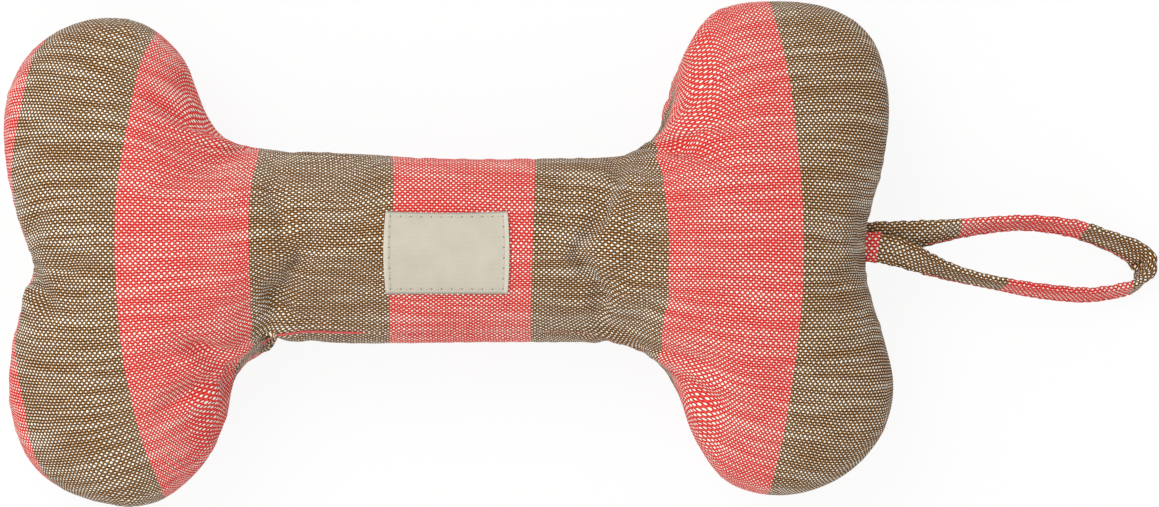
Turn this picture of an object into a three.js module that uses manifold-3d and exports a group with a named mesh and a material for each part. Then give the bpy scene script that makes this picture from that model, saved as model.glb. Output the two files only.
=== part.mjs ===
// A stuffed dog toy in the shape of a bone, lying flat with its hanging loop to the right.
// Two striped cotton panels are sewn right sides together, turned out, filled with fibre and a
// squeaker, and closed by hand. A cotton label is sewn on the front of the shaft, and a folded
// strap of the same cloth is caught in the seam between the two right lobes.
// Millimetres, +Z up. X runs along the shaft and Z = 0 is the plane of the seam, until the last
// step stands the toy on the floor.

import * as THREE from 'three';
import { mergeVertices } from 'three/addons/utils/BufferGeometryUtils.js';
import Module from 'manifold-3d';

const wasm = await Module();
wasm.setup();

// Bone
const bone_half_length = 148.8;
const bone_half_width = 84.2;
const spine_half_length = 100;
const shaft_half_length = 70;
const shaft_half_height = 27.5;
const end_half_height = 33.1;
const swell_start = 45;
const swell_end = 85;
const rest_flat_depth = 0.5;
const outline_step = 13;
const core_radius = 5;
const dome_steps = 5;

// The sewn outline, anticlockwise from the middle of the strap, as shares of the half length and
// the half width.
const outline_shares = [
  [0.937, 0.047], [0.940, 0.116], [0.946, 0.164], [0.975, 0.347], [0.989, 0.608],
  [0.951, 0.853], [0.868, 0.964], [0.733, 1.000], [0.601, 0.952], [0.532, 0.766],
  [0.492, 0.576], [0.465, 0.457], [0.404, 0.402], [0.241, 0.382], [-0.039, 0.382],
  [-0.241, 0.402], [-0.415, 0.418], [-0.507, 0.461], [-0.548, 0.584], [-0.595, 0.782],
  [-0.689, 0.917], [-0.812, 0.925], [-0.928, 0.814], [-0.989, 0.616], [-0.991, 0.350],
  [-0.951, 0.073], [-0.928, -0.050], [-0.948, -0.168], [-0.980, -0.414], [-0.978, -0.640],
  [-0.926, -0.850], [-0.812, -0.972], [-0.666, -0.988], [-0.548, -0.834], [-0.492, -0.644],
  [-0.471, -0.485], [-0.424, -0.398], [-0.330, -0.366], [-0.196, -0.358], [0.162, -0.350],
  [0.368, -0.362], [0.458, -0.414], [0.510, -0.533], [0.552, -0.731], [0.628, -0.909],
  [0.756, -0.960], [0.884, -0.885], [0.971, -0.723], [1.000, -0.533], [0.978, -0.335],
  [0.951, -0.184], [0.939, -0.097], [0.937, -0.014],
];

// Cloth and seam
const cloth_thickness = 0.9;
const seam_allowance = 8;
const seam_gap = 0.3;
const fold_radius = 1.2;
const fold_steps = 2;
const layer_clearance = 0.3;

// Threads
const seam_thread_radius = 0.25;
const seam_thread_depth = 0.3;
const closing_opening_start = 65;
const closing_opening_end = 28;
const closing_stitch_pitch = 3.5;
const closing_stitch_rise = 0.25;
const closing_thread_radius = 0.18;
const closing_thread_depth = 0.25;
const label_thread_radius = 0.25;
const label_thread_inset = 1.6;
const strap_thread_radius = 0.25;
const strap_thread_inset = 1.2;
const thread_clearance = 0.12;
const thread_sides = 5;

// Hanging loop, a strap folded flat
const strap_width = 9;
const strap_thickness = 2.2;
const loop_root_y = 4;
const lift_axis_offset = 3.2;
const lift_clearance = 0.45;
const neck_length = 9.8;
const neck_waist_half_width = 3;
const neck_taper_start = 2.5;
const eye_length = 88.9;
const eye_half_width = 12.2;
const eye_middle_offset = 5.8;
const strap_ease_length = 12;
const strap_tilt_length = 16;
const strap_tilt_deg = 58;
const strap_stations = 46;
const strap_lap_stations = 4;
const strap_edge_share = 0.2;
const strap_round_steps = 8;
const slot_side_clearance = 0.6;
const slot_taper_length = 5.5;
const floor_clearance = 0.3;

// The eye's centre line, from where the strands cross, out along the upper strand and back along
// the lower one, as shares of the eye's length and half width.
const eye_shares = [
  [0.000, 0.475], [0.073, 0.680], [0.218, 0.828], [0.344, 0.934], [0.478, 1.000],
  [0.584, 0.959], [0.707, 0.828], [0.827, 0.533], [0.926, 0.246], [0.984, -0.090],
  [0.997, -0.336], [0.976, -0.549], [0.926, -0.779], [0.827, -0.934], [0.740, -1.000],
  [0.585, -0.902], [0.413, -0.705], [0.231, -0.443], [0.106, -0.156], [0.000, 0.475],
];

// Label
const label_length = 40;
const label_width = 26.7;
const label_y = 0.4;
const label_thickness = 0.6;
const label_hem_length = 1.8;
const label_hem_thickness = 0.5;
const label_lengthwise_steps = 8;
const label_crosswise_steps = 8;

// Squeaker
const squeaker_radius = 21;
const squeaker_half_height = 10.5;
const squeaker_wall = 1.2;
const squeaker_neck_radius = 6.2;
const squeaker_neck_height = 3;
const whistle_rim_height = 1.2;
const whistle_depth = 7;
const whistle_bore_radius = 1.8;
const whistle_fit = 0.3;
const reed_width = 3;
const reed_length = 7;
const reed_thickness = 0.3;
const round_steps = 28;
const bulb_steps = 6;

// How far a cutting solid runs past what it cuts
const cut_overrun = 2;

function cottonMaterial(color) {
  return new THREE.MeshStandardMaterial({ color, roughness: 0.95, metalness: 0 });
}

function threadMaterial(color) {
  return new THREE.MeshStandardMaterial({ color, roughness: 0.8, metalness: 0 });
}

function piece(name, geometry, material) {
  const mesh = new THREE.Mesh(geometry, material);
  mesh.name = name;
  return mesh;
}

function smoothShare(low, high, value) {
  return THREE.MathUtils.smoothstep(value, low, high);
}

// Turns the faces of a closed geometry outwards.
function faceOutwards(geometry) {
  const place = geometry.getAttribute('position');
  const index = geometry.getIndex();
  const corners = [new THREE.Vector3(), new THREE.Vector3(), new THREE.Vector3()];
  let volume = 0;
  for (let first = 0; first < index.count; first += 3) {
    corners.forEach((corner, turn) => corner.fromBufferAttribute(place, index.getX(first + turn)));
    volume += corners[0].dot(corners[1].clone().cross(corners[2]));
  }
  if (volume < 0) {
    for (let first = 0; first < index.count; first += 3) {
      const second = index.getX(first + 1);
      index.setX(first + 1, index.getX(first + 2));
      index.setX(first + 2, second);
    }
  }
  geometry.computeVertexNormals();
  return geometry;
}

// Fan of triangles over a convex ring.
function fanCap(ring) {
  return Array.from({ length: ring.length - 2 }, (unused, step) => [0, step + 1, step + 2]);
}

// Closed skin over rings of equally many points, with a cap on the first ring and on the last. The
// last rings can have their squares folded along the other diagonal, to match the first ones.
function skin(rings, cap = fanCap, mirrored = 0) {
  const count = rings[0].length;
  const places = rings.flat().flatMap((point) => [point.x, point.y, point.z]);
  const faces = [];
  for (let level = 0; level + 1 < rings.length; level += 1) {
    for (let side = 0; side < count; side += 1) {
      const next = (side + 1) % count;
      const low = level * count;
      const high = low + count;
      if (level < rings.length - mirrored) {
        faces.push(low + side, low + next, high + next, low + side, high + next, high + side);
      } else {
        faces.push(low + side, low + next, high + side, low + next, high + next, high + side);
      }
    }
  }
  const lastRing = (rings.length - 1) * count;
  for (const [a, b, c] of cap(rings[0])) {
    faces.push(a, c, b, lastRing + a, lastRing + b, lastRing + c);
  }
  const geometry = new THREE.BufferGeometry();
  geometry.setAttribute('position', new THREE.Float32BufferAttribute(places, 3));
  geometry.setIndex(faces);
  return faceOutwards(geometry);
}

// Solid for joining and cutting.
function toSolid(geometry) {
  const bare = geometry.clone();
  bare.deleteAttribute('normal');
  bare.deleteAttribute('uv');
  const merged = mergeVertices(bare);
  const index = merged.getIndex().array;
  const faces = [];
  for (let first = 0; first < index.length; first += 3) {
    const [a, b, c] = index.subarray(first, first + 3);
    if (a !== b && b !== c && c !== a) {
      faces.push(a, b, c);
    }
  }
  const vertProperties = new Float32Array(merged.getAttribute('position').array);
  return new wasm.Manifold(new wasm.Mesh({ numProp: 3, vertProperties, triVerts: new Uint32Array(faces) }));
}

function toGeometry(solid) {
  const mesh = solid.getMesh();
  const geometry = new THREE.BufferGeometry();
  geometry.setAttribute('position', new THREE.BufferAttribute(mesh.vertProperties.slice(), 3));
  geometry.setIndex(Array.from(mesh.triVerts));
  geometry.computeVertexNormals();
  return geometry;
}

// Box between two corners, as a cutting solid.
function cuttingBox(low, high) {
  const size = high.clone().sub(low);
  const middle = low.clone().add(high).multiplyScalar(0.5);
  return toSolid(new THREE.BoxGeometry(size.x, size.y, size.z).translate(middle.x, middle.y, middle.z));
}

// Thread of round section along hand-laid points, with two cut ends.
function threadGeometry(points, radius) {
  const rings = points.map((point, step) => {
    const before = points[Math.max(step - 1, 0)];
    const after = points[Math.min(step + 1, points.length - 1)];
    const along = after.clone().sub(before).normalize();
    const up = new THREE.Vector3(0, 0, 1);
    const across = up.clone().cross(along).normalize();
    const top = along.clone().cross(across);
    return Array.from({ length: thread_sides }, (unused, side) => {
      const turn = (2 * Math.PI * side) / thread_sides;
      return point.clone()
        .addScaledVector(across, radius * Math.cos(turn))
        .addScaledVector(top, radius * Math.sin(turn));
    });
  });
  return skin(rings);
}

// Half height of the stuffed bone over its spine: the shaft, swelling to the two ends.
function plumpHeight(x) {
  const swell = smoothShare(swell_start, swell_end, Math.abs(x));
  return shaft_half_height + (end_half_height - shaft_half_height) * swell;
}

// How far the seam is held open by the strap's two sewn ends.
function seamLift(x, y) {
  const beside = Math.abs(y - loop_root_y) - strap_width / 2 - slot_side_clearance;
  const hold = x > 0 ? 1 - smoothShare(0, slot_taper_length, beside) : 0;
  return hold * (strap_thickness + seam_gap / 2);
}

// Rays from the spine out to the seam. Each knows its direction into the bone and how far the
// seam is held open at its end.
function seamRays() {
  const corners = outline_shares.map(
    ([along, across]) => new THREE.Vector3(along * bone_half_length, across * bone_half_width, 0),
  );
  const curve = new THREE.CatmullRomCurve3(corners, true, 'centripetal');
  const rays = [];
  corners.forEach((corner, number) => {
    const span = corner.distanceTo(corners[(number + 1) % corners.length]);
    const steps = Math.max(1, Math.round(span / outline_step));
    for (let step = 0; step < steps; step += 1) {
      const place = (number + step / steps) / corners.length;
      const edge = curve.getPoint(place);
      const along = curve.getTangent(place);
      const spineX = THREE.MathUtils.clamp(
        (edge.x * spine_half_length) / shaft_half_length, -spine_half_length, spine_half_length,
      );
      rays.push({
        start: new THREE.Vector3(spineX, 0, 0),
        edge,
        inward: new THREE.Vector3(-along.y, along.x, 0),
        lift: seamLift(edge.x, edge.y),
      });
    }
  });
  return rays;
}

const rays = seamRays();

// Share of the way along a ray at one step of the dome, from a round core out to the seam.
function domeShare(ray, step) {
  const first = Math.asin(core_radius / ray.start.distanceTo(ray.edge));
  return Math.sin(first + ((Math.PI / 2 - first) * step) / dome_steps);
}

// Point on a dome that lies inset from the cloth's face, standing on foot over the seam plane.
function domePoint(ray, share, inset, foot) {
  const edge = ray.edge.clone().addScaledVector(ray.inward, inset);
  const point = ray.start.clone().lerp(edge, share);
  const height = plumpHeight(point.x) - inset - foot;
  point.z = foot + height * Math.sqrt(Math.max(1 - share ** 2, 0));
  return point;
}

function domeRings(inset, foot) {
  return Array.from(
    { length: dome_steps + 1 },
    (unused, step) => rays.map((ray) => domePoint(ray, domeShare(ray, step), inset, foot(ray))),
  );
}

// Triangles over the innermost ring, alike on every layer of the dome. They step along its two
// long sides together, from right to left.
function coreFaces() {
  const ring = rays.map((ray) => domePoint(ray, domeShare(ray, 0), 0, 0));
  const faces = [];
  let upper = 0;
  let lower = ring.length - 1;
  while (lower - upper > 1) {
    if (ring[upper + 1].x >= ring[lower - 1].x) {
      faces.push([upper, upper + 1, lower]);
      upper += 1;
    } else {
      faces.push([upper, lower - 1, lower]);
      lower -= 1;
    }
  }
  return faces;
}

const core_faces = coreFaces();

function highest(rings) {
  return Math.max(...rings.flat().map((point) => point.z));
}

// Half height of the lip where the cloth folds in at the seam.
function lipHeight(ray) {
  return ray.lift + seam_gap / 2;
}

const floor_depth = highest(domeRings(0, (ray) => lipHeight(ray) + fold_radius)) - rest_flat_depth;

// Ring of places along the seam, a depth in from its edge and a height over its plane.
function seamRing(depth, height) {
  return rays.map((ray) => {
    const point = ray.edge.clone().addScaledVector(ray.inward, depth);
    point.z = height(ray);
    return point;
  });
}

// One cloth panel, on the front side (1) or the back (-1): the dome, the rounded fold at the seam
// and the allowance turned in behind it.
function panelGeometry(side) {
  const outer = domeRings(0, (ray) => lipHeight(ray) + fold_radius);
  const inner = domeRings(cloth_thickness, (ray) => lipHeight(ray) + cloth_thickness);
  const fold = Array.from({ length: fold_steps }, (unused, step) => {
    const turn = (Math.PI / 2) * ((step + 1) / fold_steps);
    const depth = fold_radius * (1 - Math.cos(turn));
    return seamRing(depth, (ray) => lipHeight(ray) + fold_radius * (1 - Math.sin(turn)));
  });
  const allowance = [
    seamRing(seam_allowance, lipHeight),
    seamRing(seam_allowance, (ray) => lipHeight(ray) + cloth_thickness),
  ];
  const rings = [...outer, ...fold, ...allowance, ...inner.reverse()];
  rings.forEach((ring) => ring.forEach((point) => point.setZ(side * point.z)));
  return skin(rings, () => core_faces, inner.length);
}

// The back panel is pressed flat where the two ends rest on the floor.
function backPanelGeometry() {
  const length = bone_half_length + cut_overrun;
  const width = bone_half_width + cut_overrun;
  const floor = cuttingBox(
    new THREE.Vector3(-length, -width, -end_half_height - cut_overrun),
    new THREE.Vector3(length, width, -floor_depth),
  );
  return toGeometry(toSolid(panelGeometry(-1)).subtract(floor));
}

// The whole fibre filling, slotted all round for the seam allowance, before it is parted.
function fillingSolid() {
  const inset = cloth_thickness + layer_clearance;
  const foot = (ray) => lipHeight(ray) + inset;
  const depth = seam_allowance + layer_clearance;
  const top = domeRings(inset, foot);
  const bottom = domeRings(inset, foot).reverse();
  bottom.forEach((ring) => ring.forEach((point) => point.setZ(-point.z)));
  const slot = [seamRing(depth, foot), seamRing(depth, (ray) => -foot(ray))];
  return toSolid(skin([...top, ...slot, ...bottom], () => core_faces, bottom.length));
}

// Outline of the squeaker's bulb in its own radius and height, from the axis to the neck's rim.
function bulbProfile(outset) {
  const radius = squeaker_radius + outset;
  const half = squeaker_half_height + outset;
  const neck = squeaker_neck_radius + outset;
  const neckTurn = Math.asin(neck / radius);
  const points = Array.from({ length: 2 * bulb_steps + 1 }, (unused, step) => {
    const turn = Math.PI - ((Math.PI - neckTurn) * step) / (2 * bulb_steps);
    return new THREE.Vector2(radius * Math.sin(turn), half * Math.cos(turn));
  });
  points[0].x = 0;
  points.push(new THREE.Vector2(neck, squeaker_half_height + squeaker_neck_height));
  return points;
}

function latheUpright(points) {
  return new THREE.LatheGeometry(points, round_steps).rotateX(Math.PI / 2);
}

// Room in the filling for the squeaker and the whistle's rim.
function squeakerPocket() {
  const rim = squeaker_half_height + squeaker_neck_height;
  const top = rim + whistle_fit + whistle_rim_height + layer_clearance;
  const points = bulbProfile(layer_clearance);
  const neck = squeaker_neck_radius + layer_clearance;
  points.push(new THREE.Vector2(neck, top), new THREE.Vector2(0, top));
  return toSolid(latheUpright(points));
}

function fillingPieces() {
  const whole = fillingSolid();
  const reach = bone_half_length + cut_overrun;
  const side = bone_half_width + cut_overrun;
  const height = end_half_height + cut_overrun;
  const half = layer_clearance / 2;
  const corner = (x, y, z) => new THREE.Vector3(x, y, z);
  const pocket = squeakerPocket();
  const material = () => new THREE.MeshStandardMaterial({ color: 0xf4f4f0, roughness: 1, metalness: 0 });
  const rooms = {
    filling_shaft_front: [corner(-shaft_half_length, -side, half), corner(shaft_half_length, side, height)],
    filling_shaft_back: [corner(-shaft_half_length, -side, -height), corner(shaft_half_length, side, -half)],
  };
  const inner = shaft_half_length + layer_clearance;
  rooms.filling_lobe_upper_left = [corner(-reach, half, -height), corner(-inner, side, height)];
  rooms.filling_lobe_lower_left = [corner(-reach, -side, -height), corner(-inner, -half, height)];
  rooms.filling_lobe_upper_right = [corner(inner, half, -height), corner(reach, side, height)];
  rooms.filling_lobe_lower_right = [corner(inner, -side, -height), corner(reach, -half, height)];
  return Object.entries(rooms).map(([name, [low, high]]) => {
    const solid = whole.intersect(cuttingBox(low, high)).subtract(pocket);
    return piece(name, toGeometry(solid), material());
  });
}

// Bulb, whistle and reed, lying in the middle of the shaft with the whistle towards the front.
function squeakerPieces() {
  const rim = squeaker_half_height + squeaker_neck_height;
  const plugRadius = squeaker_neck_radius - squeaker_wall;
  const bulb = latheUpright([...bulbProfile(0), ...bulbProfile(-squeaker_wall).reverse()]);
  const plug = plugRadius - whistle_fit;
  const whistle = latheUpright([
    new THREE.Vector2(whistle_bore_radius, rim - whistle_depth),
    new THREE.Vector2(plug, rim - whistle_depth),
    new THREE.Vector2(plug, rim + whistle_fit),
    new THREE.Vector2(squeaker_neck_radius, rim + whistle_fit),
    new THREE.Vector2(squeaker_neck_radius, rim + whistle_fit + whistle_rim_height),
    new THREE.Vector2(whistle_bore_radius, rim + whistle_fit + whistle_rim_height),
    new THREE.Vector2(whistle_bore_radius, rim - whistle_depth),
  ]);
  const reedZ = rim - whistle_depth - layer_clearance - reed_thickness / 2;
  const reed = new THREE.BoxGeometry(reed_length, reed_width, reed_thickness).translate(0, 0, reedZ);
  const vinyl = new THREE.MeshStandardMaterial({ color: 0xe9e6da, roughness: 0.5, metalness: 0 });
  const hard = new THREE.MeshStandardMaterial({ color: 0xf6f6f6, roughness: 0.4, metalness: 0 });
  const strip = new THREE.MeshStandardMaterial({ color: 0xc9ccd0, roughness: 0.35, metalness: 0 });
  return [
    piece('squeaker_bulb', bulb, vinyl),
    piece('squeaker_whistle', whistle, hard),
    piece('squeaker_reed', reed, strip),
  ];
}

// Where the strap comes out of the seam, and the line across it that the loop lifts about.
const root_edge = rays[0].edge.x;
const lift_x = root_edge + lift_axis_offset;
const stack_half_height = seam_gap / 2 + strap_thickness;

// The strap's two ends, one over the other between the seam allowances.
function sewnEnds() {
  const outer = lift_x - stack_half_height - lift_clearance;
  const inner = root_edge - seam_allowance + layer_clearance;
  const height = (seam_gap + strap_thickness) / 2;
  return [['front', 1], ['back', -1]].map(([name, side]) => {
    const geometry = new THREE.BoxGeometry(outer - inner, strap_width, strap_thickness);
    geometry.translate((outer + inner) / 2, loop_root_y, side * height);
    return piece(`loop_sewn_end_${name}`, geometry, cottonMaterial(0xd8483f));
  });
}

// The two strap ends pressed together just outside the seam. It turns about its round end on the
// seam and holds the round lap of the loop in a hollow at its other end. Origin on the lift line.
function neckGeometry() {
  const half = strap_width / 2;
  const seat = half + layer_clearance;
  const seatTurn = Math.asin(neck_waist_half_width / seat);
  const waistX = neck_length - seat * Math.cos(seatTurn);
  const plan = new THREE.Shape();
  plan.moveTo(-stack_half_height - cut_overrun, -half);
  plan.lineTo(neck_taper_start, -half);
  plan.lineTo(waistX, -neck_waist_half_width);
  plan.absarc(neck_length, 0, seat, Math.PI + seatTurn, Math.PI - seatTurn, true);
  plan.lineTo(neck_taper_start, half);
  plan.lineTo(-stack_half_height - cut_overrun, half);
  plan.closePath();
  const tall = 2 * (stack_half_height + cut_overrun);
  const planSolid = toSolid(
    new THREE.ExtrudeGeometry(plan, { depth: tall, bevelEnabled: false, curveSegments: strap_round_steps })
      .translate(0, 0, -tall / 2),
  );
  const edge = new THREE.Shape();
  edge.moveTo(neck_length, stack_half_height);
  edge.lineTo(0, stack_half_height);
  edge.absarc(0, 0, stack_half_height, Math.PI / 2, (3 * Math.PI) / 2, false);
  edge.lineTo(neck_length, -stack_half_height);
  edge.closePath();
  const wide = strap_width + cut_overrun;
  const edgeSolid = toSolid(
    new THREE.ExtrudeGeometry(edge, { depth: wide, bevelEnabled: false, curveSegments: strap_round_steps })
      .translate(0, 0, -wide / 2)
      .rotateX(Math.PI / 2),
  );
  return toGeometry(planSolid.intersect(edgeSolid));
}

// Stations along the strap, from one lap end round the eye to the other. Each has its middle, its
// direction, its half width and its tilt. Origin on the lift line.
function strapStations() {
  const points = eye_shares.map(([along, across]) => {
    const y = across * eye_half_width - eye_middle_offset;
    return new THREE.Vector3(neck_length + along * eye_length, y, 0);
  });
  const curve = new THREE.CatmullRomCurve3(points, false, 'centripetal');
  const length = curve.getLength();
  const half = strap_width / 2;
  const layer = (seam_gap + strap_thickness) / 2;
  const stations = [];
  for (let step = 0; step <= strap_stations; step += 1) {
    const share = step / strap_stations;
    const middle = curve.getPointAt(share);
    const gone = Math.min(share, 1 - share) * length;
    const ease = smoothShare(strap_ease_length, strap_ease_length + strap_tilt_length, gone);
    middle.z = (share < 0.5 ? -layer : layer) * (1 - ease);
    stations.push({ middle, along: curve.getTangentAt(share), half, tilt: ease * strap_tilt_deg, gone });
  }
  const lap = (end, direction) => Array.from({ length: strap_lap_stations }, (unused, step) => {
    const turn = ((step + 1) / (strap_lap_stations + 1)) * (Math.PI / 2);
    const middle = end.middle.clone().addScaledVector(end.along, direction * half * Math.sin(turn));
    return { ...end, middle, half: half * Math.cos(turn) };
  });
  const first = lap(stations[0], -1).reverse();
  const last = lap(stations[stations.length - 1], 1);
  return [...first, ...stations, ...last];
}

// Place on the strap's section, across its width and through its thickness.
function onStrap(station, across, through) {
  const tilt = THREE.MathUtils.degToRad(station.tilt);
  const side = new THREE.Vector3(-station.along.y, station.along.x, 0);
  const wide = side.clone().multiplyScalar(Math.cos(tilt)).setZ(Math.sin(tilt));
  const thick = side.clone().multiplyScalar(-Math.sin(tilt)).setZ(Math.cos(tilt));
  return station.middle.clone().addScaledVector(wide, across).addScaledVector(thick, through);
}

function strapGeometry() {
  const round = strap_thickness / 2;
  return skin(strapStations().map((station) => {
    const flat = Math.max(station.half - round, station.half * strap_edge_share);
    return [
      onStrap(station, station.half, 0),
      onStrap(station, flat, round),
      onStrap(station, -flat, round),
      onStrap(station, -station.half, 0),
      onStrap(station, -flat, -round),
      onStrap(station, flat, -round),
    ];
  }));
}

function strapThreadGeometry() {
  const clear = strap_ease_length + strap_tilt_length;
  const height = strap_thickness / 2 + thread_clearance + strap_thread_radius;
  const points = strapStations()
    .filter((station) => station.gone > clear)
    .map((station) => onStrap(station, station.half - strap_thread_inset - strap_thread_radius, height));
  return threadGeometry(points, strap_thread_radius);
}

// How far a piece turns down about the lift line before it comes to the floor.
function droopAngle(geometry) {
  const drop = floor_depth - floor_clearance;
  const places = geometry.getAttribute('position');
  let droop = Math.PI / 2;
  for (let number = 0; number < places.count; number += 1) {
    const reach = Math.hypot(places.getX(number), places.getZ(number));
    if (reach > drop) {
      const rise = Math.atan2(places.getZ(number), places.getX(number));
      droop = Math.min(droop, Math.asin(drop / reach) + rise);
    }
  }
  return droop;
}

// Neck and loop, hanging from the seam until the far end of the loop lies on the floor.
function loopPieces() {
  const strap = strapGeometry();
  const group = new THREE.Group();
  group.position.set(lift_x, loop_root_y, 0);
  group.rotation.y = droopAngle(strap);
  group.add(piece('loop_neck', neckGeometry(), cottonMaterial(0xc9473c)));
  group.add(piece('hanging_loop', strap, cottonMaterial(0xb0563f)));
  group.add(piece('loop_edge_thread', strapThreadGeometry(), threadMaterial(0xe8705f)));
  return group;
}

// One run of the seam thread, lying in the groove between the folds, over some of the rays.
function seamThread(name, run) {
  const depth = seam_thread_depth;
  const points = run.map((ray) => ray.edge.clone().addScaledVector(ray.inward, depth));
  return piece(name, threadGeometry(points, seam_thread_radius), threadMaterial(0xe25a50));
}

function inClosing(ray) {
  const onLowerShaft = ray.edge.y < 0 && Math.abs(ray.edge.x) < shaft_half_length;
  return onLowerShaft && ray.edge.x > -closing_opening_start && ray.edge.x < -closing_opening_end;
}

// The hand stitches that close the turning opening, in and out of the two folds.
function closingStitches() {
  const run = rays.filter(inClosing);
  const corners = run.map((ray) => ray.edge.clone().addScaledVector(ray.inward, closing_thread_depth));
  const path = new THREE.CurvePath();
  corners.slice(1).forEach((corner, step) => path.add(new THREE.LineCurve3(corners[step], corner)));
  const count = 2 * Math.round(path.getLength() / closing_stitch_pitch);
  const points = Array.from({ length: count + 1 }, (unused, step) => {
    const point = path.getPointAt(step / count);
    point.z = Math.floor(step / 2) % 2 === 0 ? closing_stitch_rise : -closing_stitch_rise;
    return point;
  });
  return piece('closing_stitches', threadGeometry(points, closing_thread_radius), threadMaterial(0xe25a50));
}

// The machine seam runs from the strap round to the turning opening, and on from there back to
// the strap.
function seamThreads() {
  const closed = rays.filter((ray) => ray.lift === 0);
  const opening = closed.findIndex(inClosing);
  const after = closed.findLastIndex(inClosing);
  return [
    seamThread('edge_seam_thread_front_run', closed.slice(0, opening)),
    seamThread('edge_seam_thread_closing_run', closed.slice(after + 1)),
  ];
}

// Cotton label with its two short ends folded under, following the front of the shaft.
function labelPieces(front) {
  const caster = new THREE.Raycaster();
  const down = new THREE.Vector3(0, 0, -1);
  const surface = (x, y) => {
    caster.set(new THREE.Vector3(x, y, end_half_height + cut_overrun), down);
    return caster.intersectObject(front)[0].point.z;
  };
  const halfLength = label_length / 2;
  const under = (x, y) => surface(x, y) + layer_clearance;
  const over = (x, y) => {
    const hem = Math.abs(x) > halfLength - 2 * label_hem_length ? label_hem_thickness : 0;
    return under(x, y) + label_thickness + hem;
  };
  const hemEdges = [halfLength, halfLength - label_hem_length, halfLength - 2 * label_hem_length];
  const middle = halfLength - 3 * label_hem_length;
  const columns = [...hemEdges];
  for (let step = 0; step <= label_lengthwise_steps; step += 1) {
    columns.push(middle - (2 * middle * step) / label_lengthwise_steps);
  }
  columns.push(...hemEdges.map((x) => -x).reverse());
  const rows = Array.from(
    { length: label_crosswise_steps + 1 },
    (unused, step) => label_y + label_width * (step / label_crosswise_steps - 1 / 2),
  );
  const rings = columns.map((x) => [
    ...rows.map((y) => new THREE.Vector3(x, y, over(x, y))),
    ...rows.map((y) => new THREE.Vector3(x, y, under(x, y))).reverse(),
  ]);
  const side = (ring) => {
    const last = ring.length - 1;
    const faces = [];
    for (let step = 0; step < rows.length - 1; step += 1) {
      faces.push([step, step + 1, last - step], [step + 1, last - step - 1, last - step]);
    }
    return faces;
  };
  const label = piece('label', skin(rings, side), cottonMaterial(0xcdc6b4));
  const lift = thread_clearance + label_thread_radius;
  const halfRun = halfLength - label_thread_inset;
  const halfDrop = label_width / 2 - label_thread_inset;
  const top = (x, y) => new THREE.Vector3(x, label_y + y, over(x, label_y + y) + label_hem_thickness + lift);
  const run = (from, to, count) => Array.from({ length: count }, (unused, step) => {
    const share = step / count;
    return top(from[0] + (to[0] - from[0]) * share, from[1] + (to[1] - from[1]) * share);
  });
  const long = 2 * label_lengthwise_steps;
  const short = label_crosswise_steps;
  const points = [
    ...run([-halfRun, -halfDrop], [halfRun, -halfDrop], long),
    ...run([halfRun, -halfDrop], [halfRun, halfDrop], short),
    ...run([halfRun, halfDrop], [-halfRun, halfDrop], long),
    ...run([-halfRun, halfDrop], [-halfRun, -halfDrop], short),
  ];
  const thread = threadGeometry(points, label_thread_radius);
  return [label, piece('label_stitching', thread, threadMaterial(0xbdb59f))];
}

function dogToy() {
  const toy = new THREE.Group();
  const front = piece('front_panel', panelGeometry(1), cottonMaterial(0xd9564b));
  const back = piece('back_panel', backPanelGeometry(), cottonMaterial(0x8b6f4a));
  toy.add(front, back, ...fillingPieces(), ...squeakerPieces(), ...seamThreads(), closingStitches());
  toy.add(...labelPieces(front), ...sewnEnds(), loopPieces());
  const box = new THREE.Box3().setFromObject(toy, true);
  const middle = box.getCenter(new THREE.Vector3());
  toy.position.set(-middle.x, -middle.y, -box.min.z);
  return toy;
}

export default dogToy();
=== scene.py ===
import logging
import math
from collections.abc import Callable
from dataclasses import dataclass, field
from enum import Enum

import bmesh
import bpy
import numpy as np
from mathutils import Matrix, Vector
from mathutils.bvhtree import BVHTree
from mathutils.geometry import delaunay_2d_cdt


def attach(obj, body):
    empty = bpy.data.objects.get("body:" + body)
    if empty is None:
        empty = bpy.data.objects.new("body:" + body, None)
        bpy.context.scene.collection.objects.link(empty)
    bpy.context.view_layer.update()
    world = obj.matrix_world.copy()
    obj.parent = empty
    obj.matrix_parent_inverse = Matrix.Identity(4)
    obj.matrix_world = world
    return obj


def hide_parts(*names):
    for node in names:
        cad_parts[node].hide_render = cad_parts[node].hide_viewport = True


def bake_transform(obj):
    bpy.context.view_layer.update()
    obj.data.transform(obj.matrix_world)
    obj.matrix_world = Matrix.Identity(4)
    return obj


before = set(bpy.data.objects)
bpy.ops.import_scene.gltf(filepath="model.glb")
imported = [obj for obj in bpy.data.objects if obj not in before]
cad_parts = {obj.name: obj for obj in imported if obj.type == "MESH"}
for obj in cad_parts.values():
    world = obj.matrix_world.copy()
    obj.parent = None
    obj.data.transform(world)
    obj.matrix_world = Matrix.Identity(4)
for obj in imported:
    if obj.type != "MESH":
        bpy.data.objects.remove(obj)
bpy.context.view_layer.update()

log = logging.getLogger("dog_bone")

# Lengths are in millimetres in the bone's own coordinates: its middle at zero, the shaft along x and
# the seam's plane at z = 0. A mesh is turned into metres in the shared frame when it is made.
MM = 0.001
BONE_PLACE = (-45.777, -0.095, 32.547)
BLOCK = 2000

Value = "Socket | float | tuple"


class Side(Enum):
    """The two panels of the bone."""

    FRONT = 1
    BACK = -1


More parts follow.
